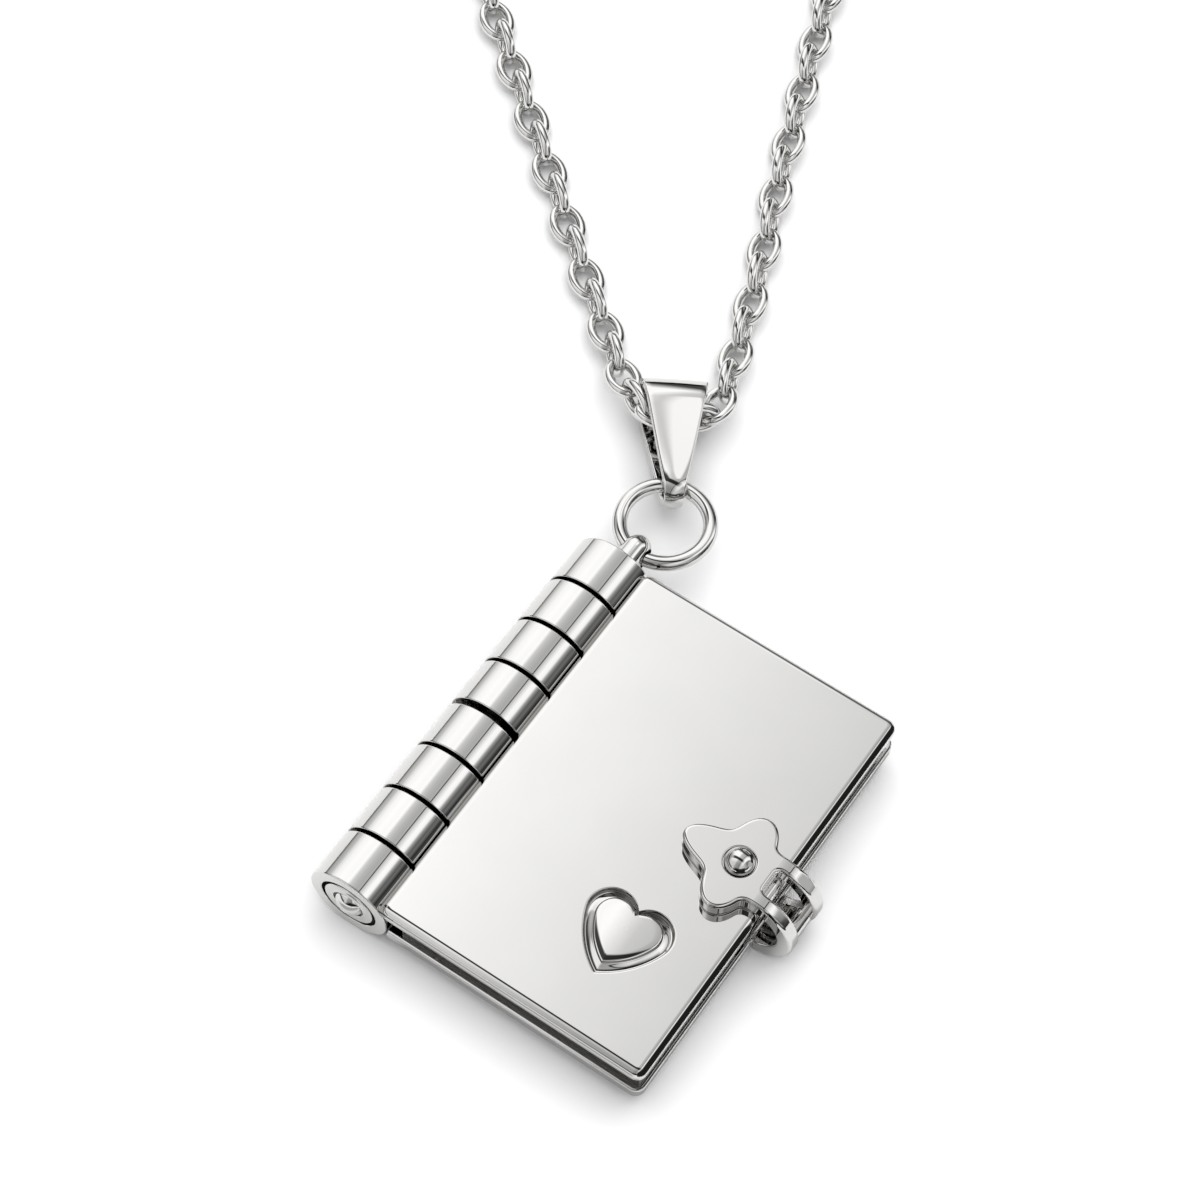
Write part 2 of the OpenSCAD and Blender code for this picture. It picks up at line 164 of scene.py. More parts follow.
class LocketClaspSizes(bpy.types.PropertyGroup):
    thick: length("Thickness", "Thickness of the flap", 0.93)
    gap: length("Gap", "Gap between the flap and the front cover", 0.07)
    along: length("From the foot", "Height of the clasp's middle above the foot edge", 12.68)
    back: length("Flower set back", "Distance of the flower's middle from the fore edge", 2.35)
    flower: length("Flower", "Mean radius of the flower", 2.5)
    lobe: length("Lobes", "Depth of the flower's lobes", 0.5)
    tip: length("Tip", "Extra reach of the pointed lobe", 0.45)
    rim: length("Rim", "Rounding of the flap's rims", 0.2)
    strap: length("Strap", "Width of the strap", 3.3)
    window: length("Window", "Width of the window in the strap", 1.6)
    curl_in: length("Curl inside", "Distance of the curl's middle inside the fore edge", 0.55)
    curl_end: angle("Curl end", "Angle below level at which the curl ends", 68)
    bar: length("Cross bar", "Radius of the cross bar", 0.52)
    ball: length("Snap ball", "Radius of the snap ball", 0.85)
    recess: length("Recess", "Clearance round the ball in its recess", 0.12)
    sink: length("Ball sink", "Depth of the ball's middle below the flap's top", 0.15)
    floor: length("Recess floor", "Thickness of the flap under the ball", 0.35)
    stem: length("Stem", "Radius of the ball's stem", 0.35)
    snap: length("Snap depth", "Depth of the stem's tip in the front cover", 0.18)


class LocketRingSizes(bpy.types.PropertyGroup):
    radius: length("Ring", "Outer radius of the jump ring", 3.0)
    wire: length("Ring wire", "Radius of the jump ring's wire", 0.43)
    lug_wide: length("Lug width", "Width of the lug", 1.5)
    lug_high: length("Lug height", "Height of the lug", 2.1)
    lug_long: length("Lug length", "Length of the lug beyond the spine", 2.55)
    lug_hole: length("Lug hole", "Radius of the hole through the lug", 0.6)
    bail_wide: length("Bail width", "Width of the bail at its fold", 4.1)
    bail_tip: length("Bail tip", "Width of the bail at its tip", 1.0)
    bail_thick: length("Bail strip", "Thickness of the bail's strip", 0.43)
    fold: length("Fold", "Inner radius of the bail's fold", 1.42)
    bail_long: length("Bail length", "Distance from the ring's wire to the middle of the fold", 5.25)
    play: length("Play", "Play of the ring's wire in the bail's tip", 0.25)
    roll: angle("Roll", "Roll of the bail about its length", 4)
    turn: angle("Turn", "Turn of the bail as seen from above", 2)


class LocketChainSizes(bpy.types.PropertyGroup):
    wide: length("Link width", "Width of a link", 2.25)
    long: length("Link length", "Length of a link", 3.22)
    wire: length("Link wire", "Radius of a link's wire", 0.3)
    clasp: length("Clasp radius", "Radius of the chain's clasp", 1.5)
    clasp_long: length("Clasp length", "Length of the chain's clasp", 12)


class LocketFinish(bpy.types.PropertyGroup):
    steel: tint("Steel", "Colour of the polished steel", 0.62, 0.615, 0.605)
    chain: tint("Chain steel", "Colour of the chain's steel", 0.65, 0.645, 0.635)
    # Painted shade: the darker steel that faces in recesses, gaps and hidden corners take
    inner: tint("Inner steel", "Colour of the duller steel in the recesses", 0.2, 0.195, 0.185)
    floor: tint("Floor", "Colour of the floor", 0.55, 0.55, 0.55)
    light: FloatProperty(name="Light", description="Strength of the studio's white walls", default=1.62)
    overhead: FloatProperty(name="Overhead", description="Power of the wide light above", default=32, unit="POWER")
    key: FloatProperty(name="Key", description="Power of the smaller light beyond the book", default=2.8,
                       unit="POWER")


class LocketView(bpy.types.PropertyGroup):
    target: FloatVectorProperty(name="Target", description="Point that the camera looks at",
                                default=(-0.003064, -0.090638, 0.002), subtype="TRANSLATION", precision=6)
    distance: FloatProperty(name="Distance", description="Distance of the camera from its target",
                            default=0.188534, unit="LENGTH", precision=6)
    elevation: angle("Elevation", "Height of the camera above level", 60)
    roll: angle("Roll", "Roll of the camera about its view", 3)
    lens: FloatProperty(name="Lens", description="Focal length on a 36 mm sensor", default=101.94, unit="CAMERA")


# Places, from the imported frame


def joint(name):
    """A joint's place in millimetres and the direction of its axis."""
    found = next(j for j in frame["joints"] if j["name"] == name)
    return Vector(found["pos_m"]) / MM, Vector(found["axis"]).normalized()


def book_matrix(cover, spine):
    """Turns book coordinates (x from spine to fore edge, y from foot to head) into the world's."""
    hinge, axis = joint("cover_hinge")
    along = -axis
    across = along.cross(UP)
    origin = hinge - along * cover.long / 2 + across * spine.out
    origin.z = 0
    return Matrix.Translation(origin) @ Matrix((across, along, UP)).transposed().to_4x4()


def heights(cover, spine):
    """Heights of the covers' faces and of the hinge axis."""
    low = spine.radius - cover.closed / 2
    high = low + cover.closed
    back_top = low + cover.back_plate
    front_low = high - cover.front_plate
    return SimpleNamespace(axis=spine.radius, back=low, back_top=back_top, front_low=front_low, front=high,
                           parting=(back_top + front_low) / 2)


def ring_middle():
    low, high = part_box("jump_ring")
    return (low + high) / (2 * MM)


def bail_matrix(ring):
    """Places the bail: x across it, y from the ring's wire to the fold."""
    beside = 0.38
    at = ring_middle() + Vector((beside, ring.radius - ring.wire - ring.play / 2, 0))
    return Matrix.Translation(at) @ Matrix.Rotation(ring.turn, 4, "Z") @ Matrix.Rotation(ring.roll, 4, "Y")


# Mesh tools


def circle_points(x, y, radius, start, end, steps):
    """Points of an arc, in degrees, both ends counted."""
    turns = [math.radians(start + (end - start) * i / steps) for i in range(steps + 1)]
    return [(x + radius * math.cos(t), y + radius * math.sin(t)) for t in turns]


def rounded_rectangle(wide, high, radius, steps=6):
    """The outline of a rectangle with round corners that starts at the origin."""
    points = []
    for x, y, start in ((wide - radius, high - radius, 0), (radius, high - radius, 90), (radius, radius, 180),
                        (wide - radius, radius, 270)):
        points += circle_points(x, y, radius, start, start + 90, steps)
    return points


def add_loop(bm, points):
    """A closed loop of vertices and the edges between them."""
    verts = [bm.verts.new(point if len(point) == 3 else (*point, 0)) for point in points]
    edges = [bm.edges.new((verts[i - 1], verts[i])) for i in range(len(verts))]
    return verts, edges


def kinds(geometry, kind):
    return [part for part in geometry if isinstance(part, kind)]


def extrude_faces(bm, faces, rises):
    """Extrudes flat faces upward by each rise in turn; the last ones come back."""
    for rise in rises:
        out = bmesh.ops.extrude_face_region(bm, geom=faces)["geom"]
        bmesh.ops.translate(bm, verts=kinds(out, bmesh.types.BMVert), vec=(0, 0, rise))
        faces = kinds(out, bmesh.types.BMFace)
    return faces


def inset(bm, faces, thickness, depth=0):
    """Insets faces as one region and moves them along their normals. The faces of its rim come back."""
    rim = bmesh.ops.inset_region(bm, faces=faces, thickness=thickness, depth=depth, use_even_offset=True,
                                 use_boundary=True)["faces"]
    bm.normal_update()
    return rim


def round_rim(bm, faces, radius, height, steps):
    """Rounds the rim of flat faces by insets on a quarter ellipse, then holds the flat with one more."""
    bm.normal_update()
    turn = math.pi / 2 / steps
    for i in range(steps):
        inset(bm, faces, radius * (math.cos(i * turn) - math.cos((i + 1) * turn)),
              height * (math.sin((i + 1) * turn) - math.sin(i * turn)))
    inset(bm, faces, SUPPORT)


def slab(outline, low, high, low_r, high_r, holes=(), discs=(), steps=5, low_run=None):
    """A slab with rounded rims, lying on x and y. Discs are loops that stay as faces of their own."""
    bm = bmesh.new()
    loops = [add_loop(bm, points) for points in (outline, *holes, *discs)]
    if holes or discs:
        filled = bmesh.ops.triangle_fill(bm, edges=[edge for _, edges in loops for edge in edges], use_beauty=True,
                                         normal=UP)
        faces = kinds(filled["geom"], bmesh.types.BMFace)
    else:
        faces = [bm.faces.new(bm.verts)]
    for verts, _ in loops[1 + len(holes):]:
        disc = bm.faces.new(verts)
        disc.material_index = DISC
        faces.append(disc)
    bmesh.ops.translate(bm, verts=bm.verts, vec=(0, 0, low + low_r))
    wall = high - high_r - low - low_r
    top = extrude_faces(bm, faces, (SUPPORT, wall - 2 * SUPPORT, SUPPORT))
    bmesh.ops.recalc_face_normals(bm, faces=bm.faces)
    bm.normal_update()
    bottom = [f for f in bm.faces if f.normal.z < -0.9]
    round_rim(bm, top, high_r, high_r, steps)
    round_rim(bm, bottom, low_run or low_r, low_r, steps)
    return bm


def top_disc(bm, high):
    """The disc in the top of a slab."""
    return [face for face in bm.faces if face.material_index == DISC and len(face.verts) > 20
            and face.calc_center_median().z > high - 0.01]


def as_mesh(bm, name):
    """Makes a bmesh a mesh and frees it."""
    mesh = bpy.data.meshes.new(name)
    bm.to_mesh(mesh)
    bm.free()
    return mesh


def add_object(name, data):
    made = bpy.data.objects.new(name, data)
    bpy.context.scene.collection.objects.link(made)
    return made


def join(bm, other, matrix=None):
    """Adds another bmesh, placed by a matrix, and frees it."""
    if matrix is not None:
        bmesh.ops.transform(other, matrix=matrix, verts=other.verts)
    mesh = as_mesh(other, "part")
    bm.from_mesh(mesh)
    bpy.data.meshes.remove(mesh)


def bridge_rows(bm, rows, cyclic=False):
    """Skins rows of points by bridging each closed loop to the next one."""
    loops = [add_loop(bm, row) for row in rows]
    pairs = list(zip(loops, loops[1:]))
    if cyclic:
        pairs.append((loops[-1], loops[0]))
    for near, far in pairs:
        bmesh.ops.bridge_loops(bm, edges=near[1] + far[1])
    return loops


def closed_skin(rows):
    """A closed shape over rows of points, the last row joined to the first."""
    bm = bmesh.new()
    bridge_rows(bm, rows, cyclic=True)
    bmesh.ops.recalc_face_normals(bm, faces=bm.faces)
    return bm


def spin_round(bm, sides):
    """Spins what is there all the way round z."""
    bmesh.ops.spin(bm, geom=bm.verts[:] + bm.edges[:], cent=(0, 0, 0), axis=UP, angle=2 * math.pi, steps=sides,
                   use_merge=True, use_duplicate=False)
    bmesh.ops.remove_doubles(bm, verts=bm.verts, dist=WELD)
    bmesh.ops.recalc_face_normals(bm, faces=bm.faces)
    return bm


def lathe(profile, sides=64):
    """Spins a profile of (radius, height) about z. Ends on the axis close, others stay as given."""
    bm = bmesh.new()
    verts = [bm.verts.new((radius, 0, height)) for radius, height in profile]
    for pair in zip(verts, verts[1:]):
        bm.edges.new(pair)
    return spin_round(bm, sides)


def rounded_profile(corners):
    """A profile's points from corners (radius, height, rounding), with a support point by each round."""
    points = []
    for i, (radius, height, rounding) in enumerate(corners):
        here = Vector((radius, height))
        if rounding <= 0 or i in (0, len(corners) - 1):
            points.append(here)
            continue
        before = (Vector(corners[i - 1][:2]) - here).normalized()
        after = (Vector(corners[i + 1][:2]) - here).normalized()
        half = before.angle(after) / 2
        reach = rounding / math.tan(half)
        centre = here + (before + after).normalized() * rounding / math.sin(half)
        start, end = here + before * reach - centre, here + after * reach - centre
        points.append(centre + start + before * SUPPORT)
        sweep = math.pi - 2 * half
        side = 1 if start.x * end.y - start.y * end.x > 0 else -1
        steps = max(3, round(5 * sweep / (math.pi / 2)))
        for k in range(steps + 1):
            points.append(centre + Matrix.Rotation(side * sweep * k / steps, 2) @ start)
        points.append(centre + end + after * SUPPORT)
    return [tuple(point) for point in points]


def along_book(x, z, y):
    """Stands a lathe's z axis along the book's y axis."""
    return Matrix.Translation((x, y, z)) @ Matrix.Rotation(-math.pi / 2, 4, "X")


def shade(faces):
    """Marks faces that sit in a recess or gap and take the darker steel that paints their shade."""
    for face in faces:
        face.material_index = SHADED


def finish(bm, name, body, node, steel, matrix):
    """Makes the bmesh a piece in metres that stands for a CAD node."""
    bmesh.ops.remove_doubles(bm, verts=bm.verts, dist=WELD)
    for face in bm.faces:
        face.material_index = 1 if face.material_index == SHADED else 0
        face.smooth = True
    bmesh.ops.transform(bm, matrix=Matrix.Scale(MM, 4) @ matrix, verts=bm.verts)
    loose = [vert for vert in bm.verts if not vert.link_faces]
    bmesh.ops.delete(bm, geom=loose, context="VERTS")
    mesh = as_mesh(bm, name)
    mesh.set_sharp_from_angle(angle=SHARP)
    mesh.materials.append(steel_for(steel))
    # The second material is the darker steel that paints shade on the marked faces
    mesh.materials.append(steel_for("inner_steel"))
    piece = add_object(name, mesh)
    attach(piece, body)
    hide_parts(node)


# Materials


class Value:
    """A socket's value; arithmetic on it adds Math nodes."""

    def __init__(self, shader, socket):
        self.shader = shader
        self.socket = socket

    def maths(self, operation, *values):
        """A Math node's value."""
        return self.shader.add("ShaderNodeMath", {"operation": operation}, dict(enumerate(values)))[0]

    def largest(self, other):
        return self.maths("MAXIMUM", self, other)

    def __add__(self, other):
        return self.maths("ADD", self, other)

    def __sub__(self, other):
        return self.maths("SUBTRACT", self, other)

    def __rsub__(self, other):
        return self.maths("SUBTRACT", other, self)

    def __mul__(self, other):
        return self.maths("MULTIPLY", self, other)

    __radd__ = __add__
    __rmul__ = __mul__


class Node:
    """A node whose outputs are read by name or number."""

    def __init__(self, shader, node):
        self.shader = shader
        self.node = node

    def __getitem__(self, key):
        return Value(self.shader, self.node.outputs[key])


class Shader:
    """A node tree that is built by adding nodes."""

    def __init__(self, tree):
        self.tree = tree
        tree.nodes.clear()

    def add(self, kind, settings=None, inputs=None):
        """Adds a node of a type, sets it up, then gives its sockets values or links."""
        node = self.tree.nodes.new(kind)
        for name, value in (settings or {}).items():
            if name == "stops":
                ramp = node.color_ramp.elements
                while len(ramp) < len(value):
                    ramp.new(0.5)
                for stop, (position, colour) in zip(ramp, value):
                    stop.position = position
                    stop.color = colour
            else:
                setattr(node, name, value)
        for key, value in (inputs or {}).items():
            if isinstance(value, Value):
                self.tree.links.new(value.socket, node.inputs[key])
            else:
                node.inputs[key].default_value = value
        return Node(self, node)

    def noise(self, vector, scale, detail=3, roughness=0.5):
        return self.add("ShaderNodeTexNoise", {"noise_dimensions": "3D"},
                        {"Vector": vector, "Scale": scale, "Detail": detail, "Roughness": roughness})["Fac"]

    def ramp(self, value, low, high, out_low=0, out_high=1):
        return self.add("ShaderNodeMapRange", {"interpolation_type": "SMOOTHSTEP"},
                        {"Value": value, "From Min": low, "From Max": high, "To Min": out_low,
                         "To Max": out_high})["Result"]

    def mix(self, factor, first, second):
        return self.add("ShaderNodeMix", {"data_type": "RGBA"}, {0: factor, 6: first, 7: second})[2]

    def measure(self, operation, first, second):
        """The dot product or distance of two vectors."""
        return self.add("ShaderNodeVectorMath", {"operation": operation}, {0: first, 1: second})["Value"]


def new_material(name):
    """A material with its shader, still empty but for the object's coordinates."""
    material = bpy.data.materials.new(name)
    material.use_nodes = True
    shader = Shader(material.node_tree)
    return material, shader, shader.add("ShaderNodeTexCoord")["Object"]


def polished_steel(name, colour, wear):
    """Mirror-polished steel with faint handling marks, hairlines and a slight unevenness."""
    material, shader, place = new_material(name)
    clouds = shader.noise(place, 180, 3)
    smears = shader.noise(place, 700, 4, 0.6)
    stretched = shader.add("ShaderNodeMapping", {"vector_type": "POINT"},
                           {"Vector": place, "Rotation": (0, 0, 0.7), "Scale": (1, 14, 1)})[0]
    hairlines = shader.ramp(shader.noise(stretched, 900, 2), 0.6, 0.75)
    dull = tuple(c * 0.975 for c in colour)
    tone = shader.mix(shader.ramp(clouds, 0.35, 0.7), (*colour, 1), (*dull, 1))
    roughness = shader.ramp(smears, 0.4, 0.8, 0.03, 0.03 + 0.025 * wear) + hairlines * (0.015 * wear)
    bump = shader.add("ShaderNodeBump", None, {"Strength": 0.008 * wear, "Distance": 0.00001,
                                               "Height": smears + hairlines * 0.5})["Normal"]
    steel = shader.add("ShaderNodeBsdfPrincipled", None,
                       {"Base Color": tone, "Metallic": 1.0, "Roughness": roughness, "Normal": bump})
    shader.add("ShaderNodeOutputMaterial", None, {"Surface": steel[0]})
    return material


# Each steel's colour and how much it is worn; the last is a darker steel that paints shade into recesses and gaps
STEELS = {"cover_steel": ("steel", 1.0), "bright_steel": ("steel", 0.6), "chain_steel": ("chain", 0.5),
          "inner_steel": ("inner", 4.0)}


def steel_for(name):
    """The named steel, made once."""
    if name in bpy.data.materials:
        return bpy.data.materials[name]
    colour, wear = STEELS[name]
    return polished_steel(name, tuple(getattr(bpy.context.scene.locket_finish, colour)), wear)


# Parts of the covers


def keep_clear(bm, cover, spine):
    """Moves what would touch the other cover's knuckles to a round hollow along the spine edge."""
    high = heights(cover, spine)
    reach = spine.radius + spine.clear
    for vert in bm.verts:
        rise = vert.co.z - high.axis
        if abs(rise) < reach:
            vert.co.x = max(vert.co.x, math.sqrt(reach * reach - rise * rise) - spine.out)


def frame_wall(cover, low, high):
    """The wall of a frame, hollow for a picture."""
    def corners(inside):
        x, y = cover.frame_spine + inside, cover.frame_inset + inside
        far_x, far_y = cover.wide - cover.frame_fore - inside, cover.long - cover.frame_inset - inside
        return [(x, y), (far_x, y), (far_x, far_y), (x, far_y)]

    wall = slab(corners(0), low, high, 0.03, 0.03, holes=[corners(cover.frame)], steps=2)
    # Painted shade: the wall takes the darker steel, all but its face at the fore edge
    fore = cover.wide - cover.frame_fore
    shade([face for face in wall.faces if face.calc_center_median().x < fore - 0.01])
    return wall


def knuckle_span(spine, cover, i):
    """Where a knuckle starts and ends along the spine."""
    pitch = cover.long / spine.count

    def gap(at):
        if at in (0, spine.count):
            return 0
        return (spine.middle_gap if at == spine.count / 2 else spine.gap) / 2

    return i * pitch + gap(i), (i + 1) * pitch - gap(i + 1)


def add_knuckle(bm, spine, cover, i):
    """One knuckle: with the pocket for the pin's head at the foot, closed at the head, else open."""
    start, end = knuckle_span(spine, cover, i)
    tall, rim, bore, out = end - start, spine.rim, spine.bore, spine.radius
    pocket = spine.head + spine.groove
    first, last = i == 0, i == spine.count - 1
    if first:
        deep = spine.head_thick + 0.04
        corners = [(bore, deep, 0), (pocket, deep, 0), (pocket, 0, 0.05)]
    else:
        corners = [(bore, tall / 2, 0), (bore, 0, 0.05)]
    corners += [(out, 0, rim), (out, tall, rim)]
    if last:
        closed = tall - spine.end_wall
        corners += [(0, tall, 0), (0, closed, 0), (bore, closed, 0), (bore, tall / 2, 0)]
    else:
        corners += [(bore, tall, 0.05), (bore, deep if first else tall / 2, 0)]
    barrel = lathe(rounded_profile(corners), 96)
    barrel.normal_update()

    # Painted shade: the bore and the ends that face a gap take the darker steel
    def takes_painted_shade(face):
        z = face.calc_center_median().z
        in_bore = max(vert.co.xy.length for vert in face.verts) < pocket + 0.01 and z > 0.08
        in_gap = (not first and z < 0.01) or (not last and z > tall - 0.01)
        return in_bore or (in_gap and abs(face.normal.z) > 0.7)

    shade([face for face in barrel.faces if takes_painted_shade(face)])
    join(bm, barrel, along_book(-spine.out, heights(cover, spine).axis, start))


def add_web(bm, spine, cover, i, low, high):
    """The web that joins a knuckle to its cover's plate."""
    start, end = knuckle_span(spine, cover, i)
    near, far, play = -spine.out + spine.bore + 0.25, 1.0, 0.02
    outline = [(near, start + play), (far, start + play), (far, end - play), (near, end - play)]
    web = slab(outline, low, high, 0.05, 0.05, steps=2)
    # Painted shade: the web takes the darker steel
    shade(web.faces)
    join(bm, web)


def add_hinge_side(bm, cover, spine, first, frame, web):
    """What both covers have: room for the other's knuckles, a frame, and every other knuckle on its web."""
    keep_clear(bm, cover, spine)
    join(bm, frame_wall(cover, *frame))
    for i in range(first, spine.count, 2):
        add_knuckle(bm, spine, cover, i)
        add_web(bm, spine, cover, i, *web)


def heart_points(wide, steps=24):
    """A heart's outline from its tip round to the tip: a long arc, two round lobes, a long arc."""
    # The lobes' size, and how far the long arcs' middles lie beyond the lobes'
    lobe = wide * 0.2784
    lobe_x = wide / 2 - lobe
    shift = lobe_x * 3.564
    side = 20
    centre = (lobe_x - shift * math.cos(math.radians(side)), shift * math.sin(math.radians(side)))
    tip_turn = -math.degrees(math.acos(-centre[0] / (lobe + shift)))
    half = circle_points(*centre, lobe + shift, tip_turn, -side, steps)
    notch = math.degrees(math.acos(-lobe_x / lobe))
    half += circle_points(lobe_x, 0, lobe, -side, notch, steps)[1:]
    return half + [(-x, y) for x, y in reversed(half[1:-1])]


def add_heart(bm, heart, top):
    """Sinks the heart's moat into the plate's loop and raises the domed heart in its middle."""
    wide, deep = heart.wide, heart.deep
    lip = (wide - heart.inner) / 2
    ramp = 0.42 * deep
    rows = [(-3 * SUPPORT, 0), (0, 0), (0.02, -0.006), (0.04, -0.025), (0.055, -0.06), (0.07, -0.6 * deep),
            (0.09, -0.85 * deep), (0.12, -0.96 * deep), (0.16, -deep), (0.21, -deep), (0.26, -0.95 * deep),
            (0.32, -0.88 * deep), (0.38, -0.79 * deep), (0.44, -0.69 * deep), (0.5, -0.58 * deep),
            (0.56, -0.47 * deep), (lip - 0.05, -ramp), (lip - 0.03, -0.85 * ramp), (lip - 0.015, -0.6 * ramp),
            (lip, -0.35 * ramp), (lip + 0.02, -0.12 * ramp), (lip + 0.05, 0), (lip + 0.09, 0), (lip + 0.2, 0),
            (lip + 0.45, 0), (lip + 0.7, 0), (lip + 1.0, 0), (lip + 1.3, 0), (lip + 1.55, 0), (lip + 1.75, 0)]
    loops = []
    for inside, rise in rows:
        width = wide - 2 * inside
        drop = -0.42 * max(0, 1 - width / wide)
        loop = []
        for x, y in heart_points(width):
            y += drop
            swell = max(0, min(1, (inside - lip + 0.05) / 0.25)) * heart.dome
            round_off = 1 - (x * x + (y + 0.5) ** 2) / heart.swell ** 2
            loop.append((heart.across + x, heart.along + y, top + rise + swell * round_off))
        loops.append(loop)
    made = bridge_rows(bm, loops)
    # Painted shade: the moat's steep outer wall takes the darker steel
    wall = {vert for verts, _ in made[3:9] for vert in verts}
    shade([face for face in bm.faces if wall.issuperset(face.verts)])
    bm.faces.new(made[-1][0])


def add_lug(bm, ring, cover, spine):
    """Bullet-shaped lug at the head of the spine with the hole for the jump ring."""
    flat, half, end = ring.lug_high / 2, ring.lug_wide / 2, ring.lug_long
    root, hole_y, sides, step = -0.5, 1.5, 48, 0.002

    def past_end(y):
        return max(0, y - (end - flat))

    def outline(turn):
        """Distance from the hole's middle to the bullet's side view."""
        out = Vector((math.cos(turn), math.sin(turn)))
        reach = 0.0
        while reach < 3:
            y, z = hole_y + out.x * reach, out.y * reach
            if y < root or abs(z) > flat or (past_end(y) > 0 and past_end(y) ** 2 + z * z > flat * flat):
                break
            reach += step
        return reach

    turns = [2 * math.pi * i / sides for i in range(sides)]
    reaches = [outline(turn) for turn in turns]
    shares = [math.sin(math.pi / 2 * i / 16) for i in range(17)]
    rows = []
    for side, share in [(1, share) for share in shares] + [(-1, share) for share in shares[-2::-1]]:
        row = []
        for turn, reach in zip(turns, reaches):
            far = ring.lug_hole + (reach - ring.lug_hole) * share
            y, z = hole_y + math.cos(turn) * far, math.sin(turn) * far
            bulge = max(0, math.hypot(past_end(y), z) - (flat - half)) / half
            row.append((side * half * math.sqrt(max(0, 1 - bulge * bulge)), y, z))
        rows.append(row)
    join(bm, closed_skin(rows), Matrix.Translation((-spine.out + 0.3, cover.long, heights(cover, spine).axis)))


def add_saddle_tab(bm, clasp, cover, spine, places):
    """Tab at the fore edge with the open saddle for the clasp's cross bar."""
    high = heights(cover, spine)
    low, top = high.back + 0.15, high.back_top - 0.15
    root = cover.wide - 0.6
    nose = [(17.75, low), (17.93, low + 0.04), (18.07, 1.0), (18.17, 1.13)]
    seat = clasp.bar + 0.08
    outline = [(root, top), (root, low)] + nose + circle_points(places.bar_x, places.bar_z, seat, -56, -180, 14)
    outline += [(places.bar_x - seat, top - 0.06), (places.bar_x - seat - 0.06, top)]
    half = clasp.window / 2 - 0.1
    tab = slab(outline, -half, half, 0.04, 0.04, steps=2)
    # Painted shade: the tab takes the darker steel
    shade(tab.faces)
    place = Matrix(((1, 0, 0, 0), (0, 0, -1, clasp.along), (0, 1, 0, 0), (0, 0, 0, 1)))
    join(bm, tab, place)


def clasp_places(clasp, cover, spine):
    """Heights and middles of the clasp's parts."""
    high = heights(cover, spine)
    low = high.front + clasp.gap
    top = low + clasp.thick
    curl_x = cover.wide - clasp.curl_in
    curl_z = high.back + cover.closed / 2 + 0.1
    bar_path = top - curl_z - clasp.bar - 0.05
    turn = math.radians(24)
    return SimpleNamespace(low=low, top=top, flower_x=cover.wide - clasp.back, curl_x=curl_x, curl_z=curl_z,
                           bar_x=curl_x + bar_path * math.cos(turn), bar_z=curl_z - bar_path * math.sin(turn))


class PieceOperator:
    """Sizes and matrices that the operators share."""

    bl_options = {"REGISTER", "UNDO"}

    def gather(self, context):
        """Reads all sizes in millimetres and works out the places that follow from them."""
        scene = context.scene
        for name in ("cover", "spine", "heart", "clasp", "ring", "chain"):
            setattr(self, name, millimetres(getattr(scene, "locket_" + name)))
        self.high = heights(self.cover, self.spine)
        self.book = book_matrix(self.cover, self.spine)
        self.places = clasp_places(self.clasp, self.cover, self.spine)


class LOCKET_OT_back_cover(PieceOperator, bpy.types.Operator):
    """Back plate with its frame, knuckles, lug and saddle tab"""
    bl_idname = "locket.back_cover"
    bl_label = "Back cover"

    def execute(self, context):
        self.gather(context)
        cover, spine, high = self.cover, self.spine, self.high
        outline = rounded_rectangle(cover.wide, cover.long, cover.corner)
        bm = slab(outline, high.back, high.back_top, cover.back_edge, cover.inner_edge, low_run=cover.edge + 0.08)
        add_hinge_side(bm, cover, spine, 1, (high.back_top - 0.1, high.parting - cover.gap / 2),
                       (high.back + 0.25, high.back_top - cover.edge))
        add_lug(bm, self.ring, cover, spine)
        add_saddle_tab(bm, self.clasp, cover, spine, self.places)
        finish(bm, "back_cover_shell", "back", "back_cover", "cover_steel", self.book)
        return {"FINISHED"}


class LOCKET_OT_front_cover(PieceOperator, bpy.types.Operator):
    """Front plate with its heart, frame and knuckles"""
    bl_idname = "locket.front_cover"
    bl_label = "Front cover"

    def execute(self, context):
        self.gather(context)
        cover, spine, high, heart = self.cover, self.spine, self.high, self.heart
        outline = rounded_rectangle(cover.wide, cover.long, cover.corner)
        moat = [(heart.across + x, heart.along + y) for x, y in heart_points(heart.wide + 6 * SUPPORT)]
        bm = slab(outline, high.front_low, high.front, cover.inner_edge, cover.edge, discs=[moat])
        bmesh.ops.delete(bm, geom=top_disc(bm, high.front), context="FACES_ONLY")
        add_heart(bm, heart, high.front)
        add_hinge_side(bm, cover, spine, 0, (high.parting + cover.gap / 2, high.front_low + 0.1),
                       (high.front_low + 0.1, high.front - 0.25))
        finish(bm, "front_cover_shell", "front", "front_cover", "cover_steel", self.book)
        return {"FINISHED"}


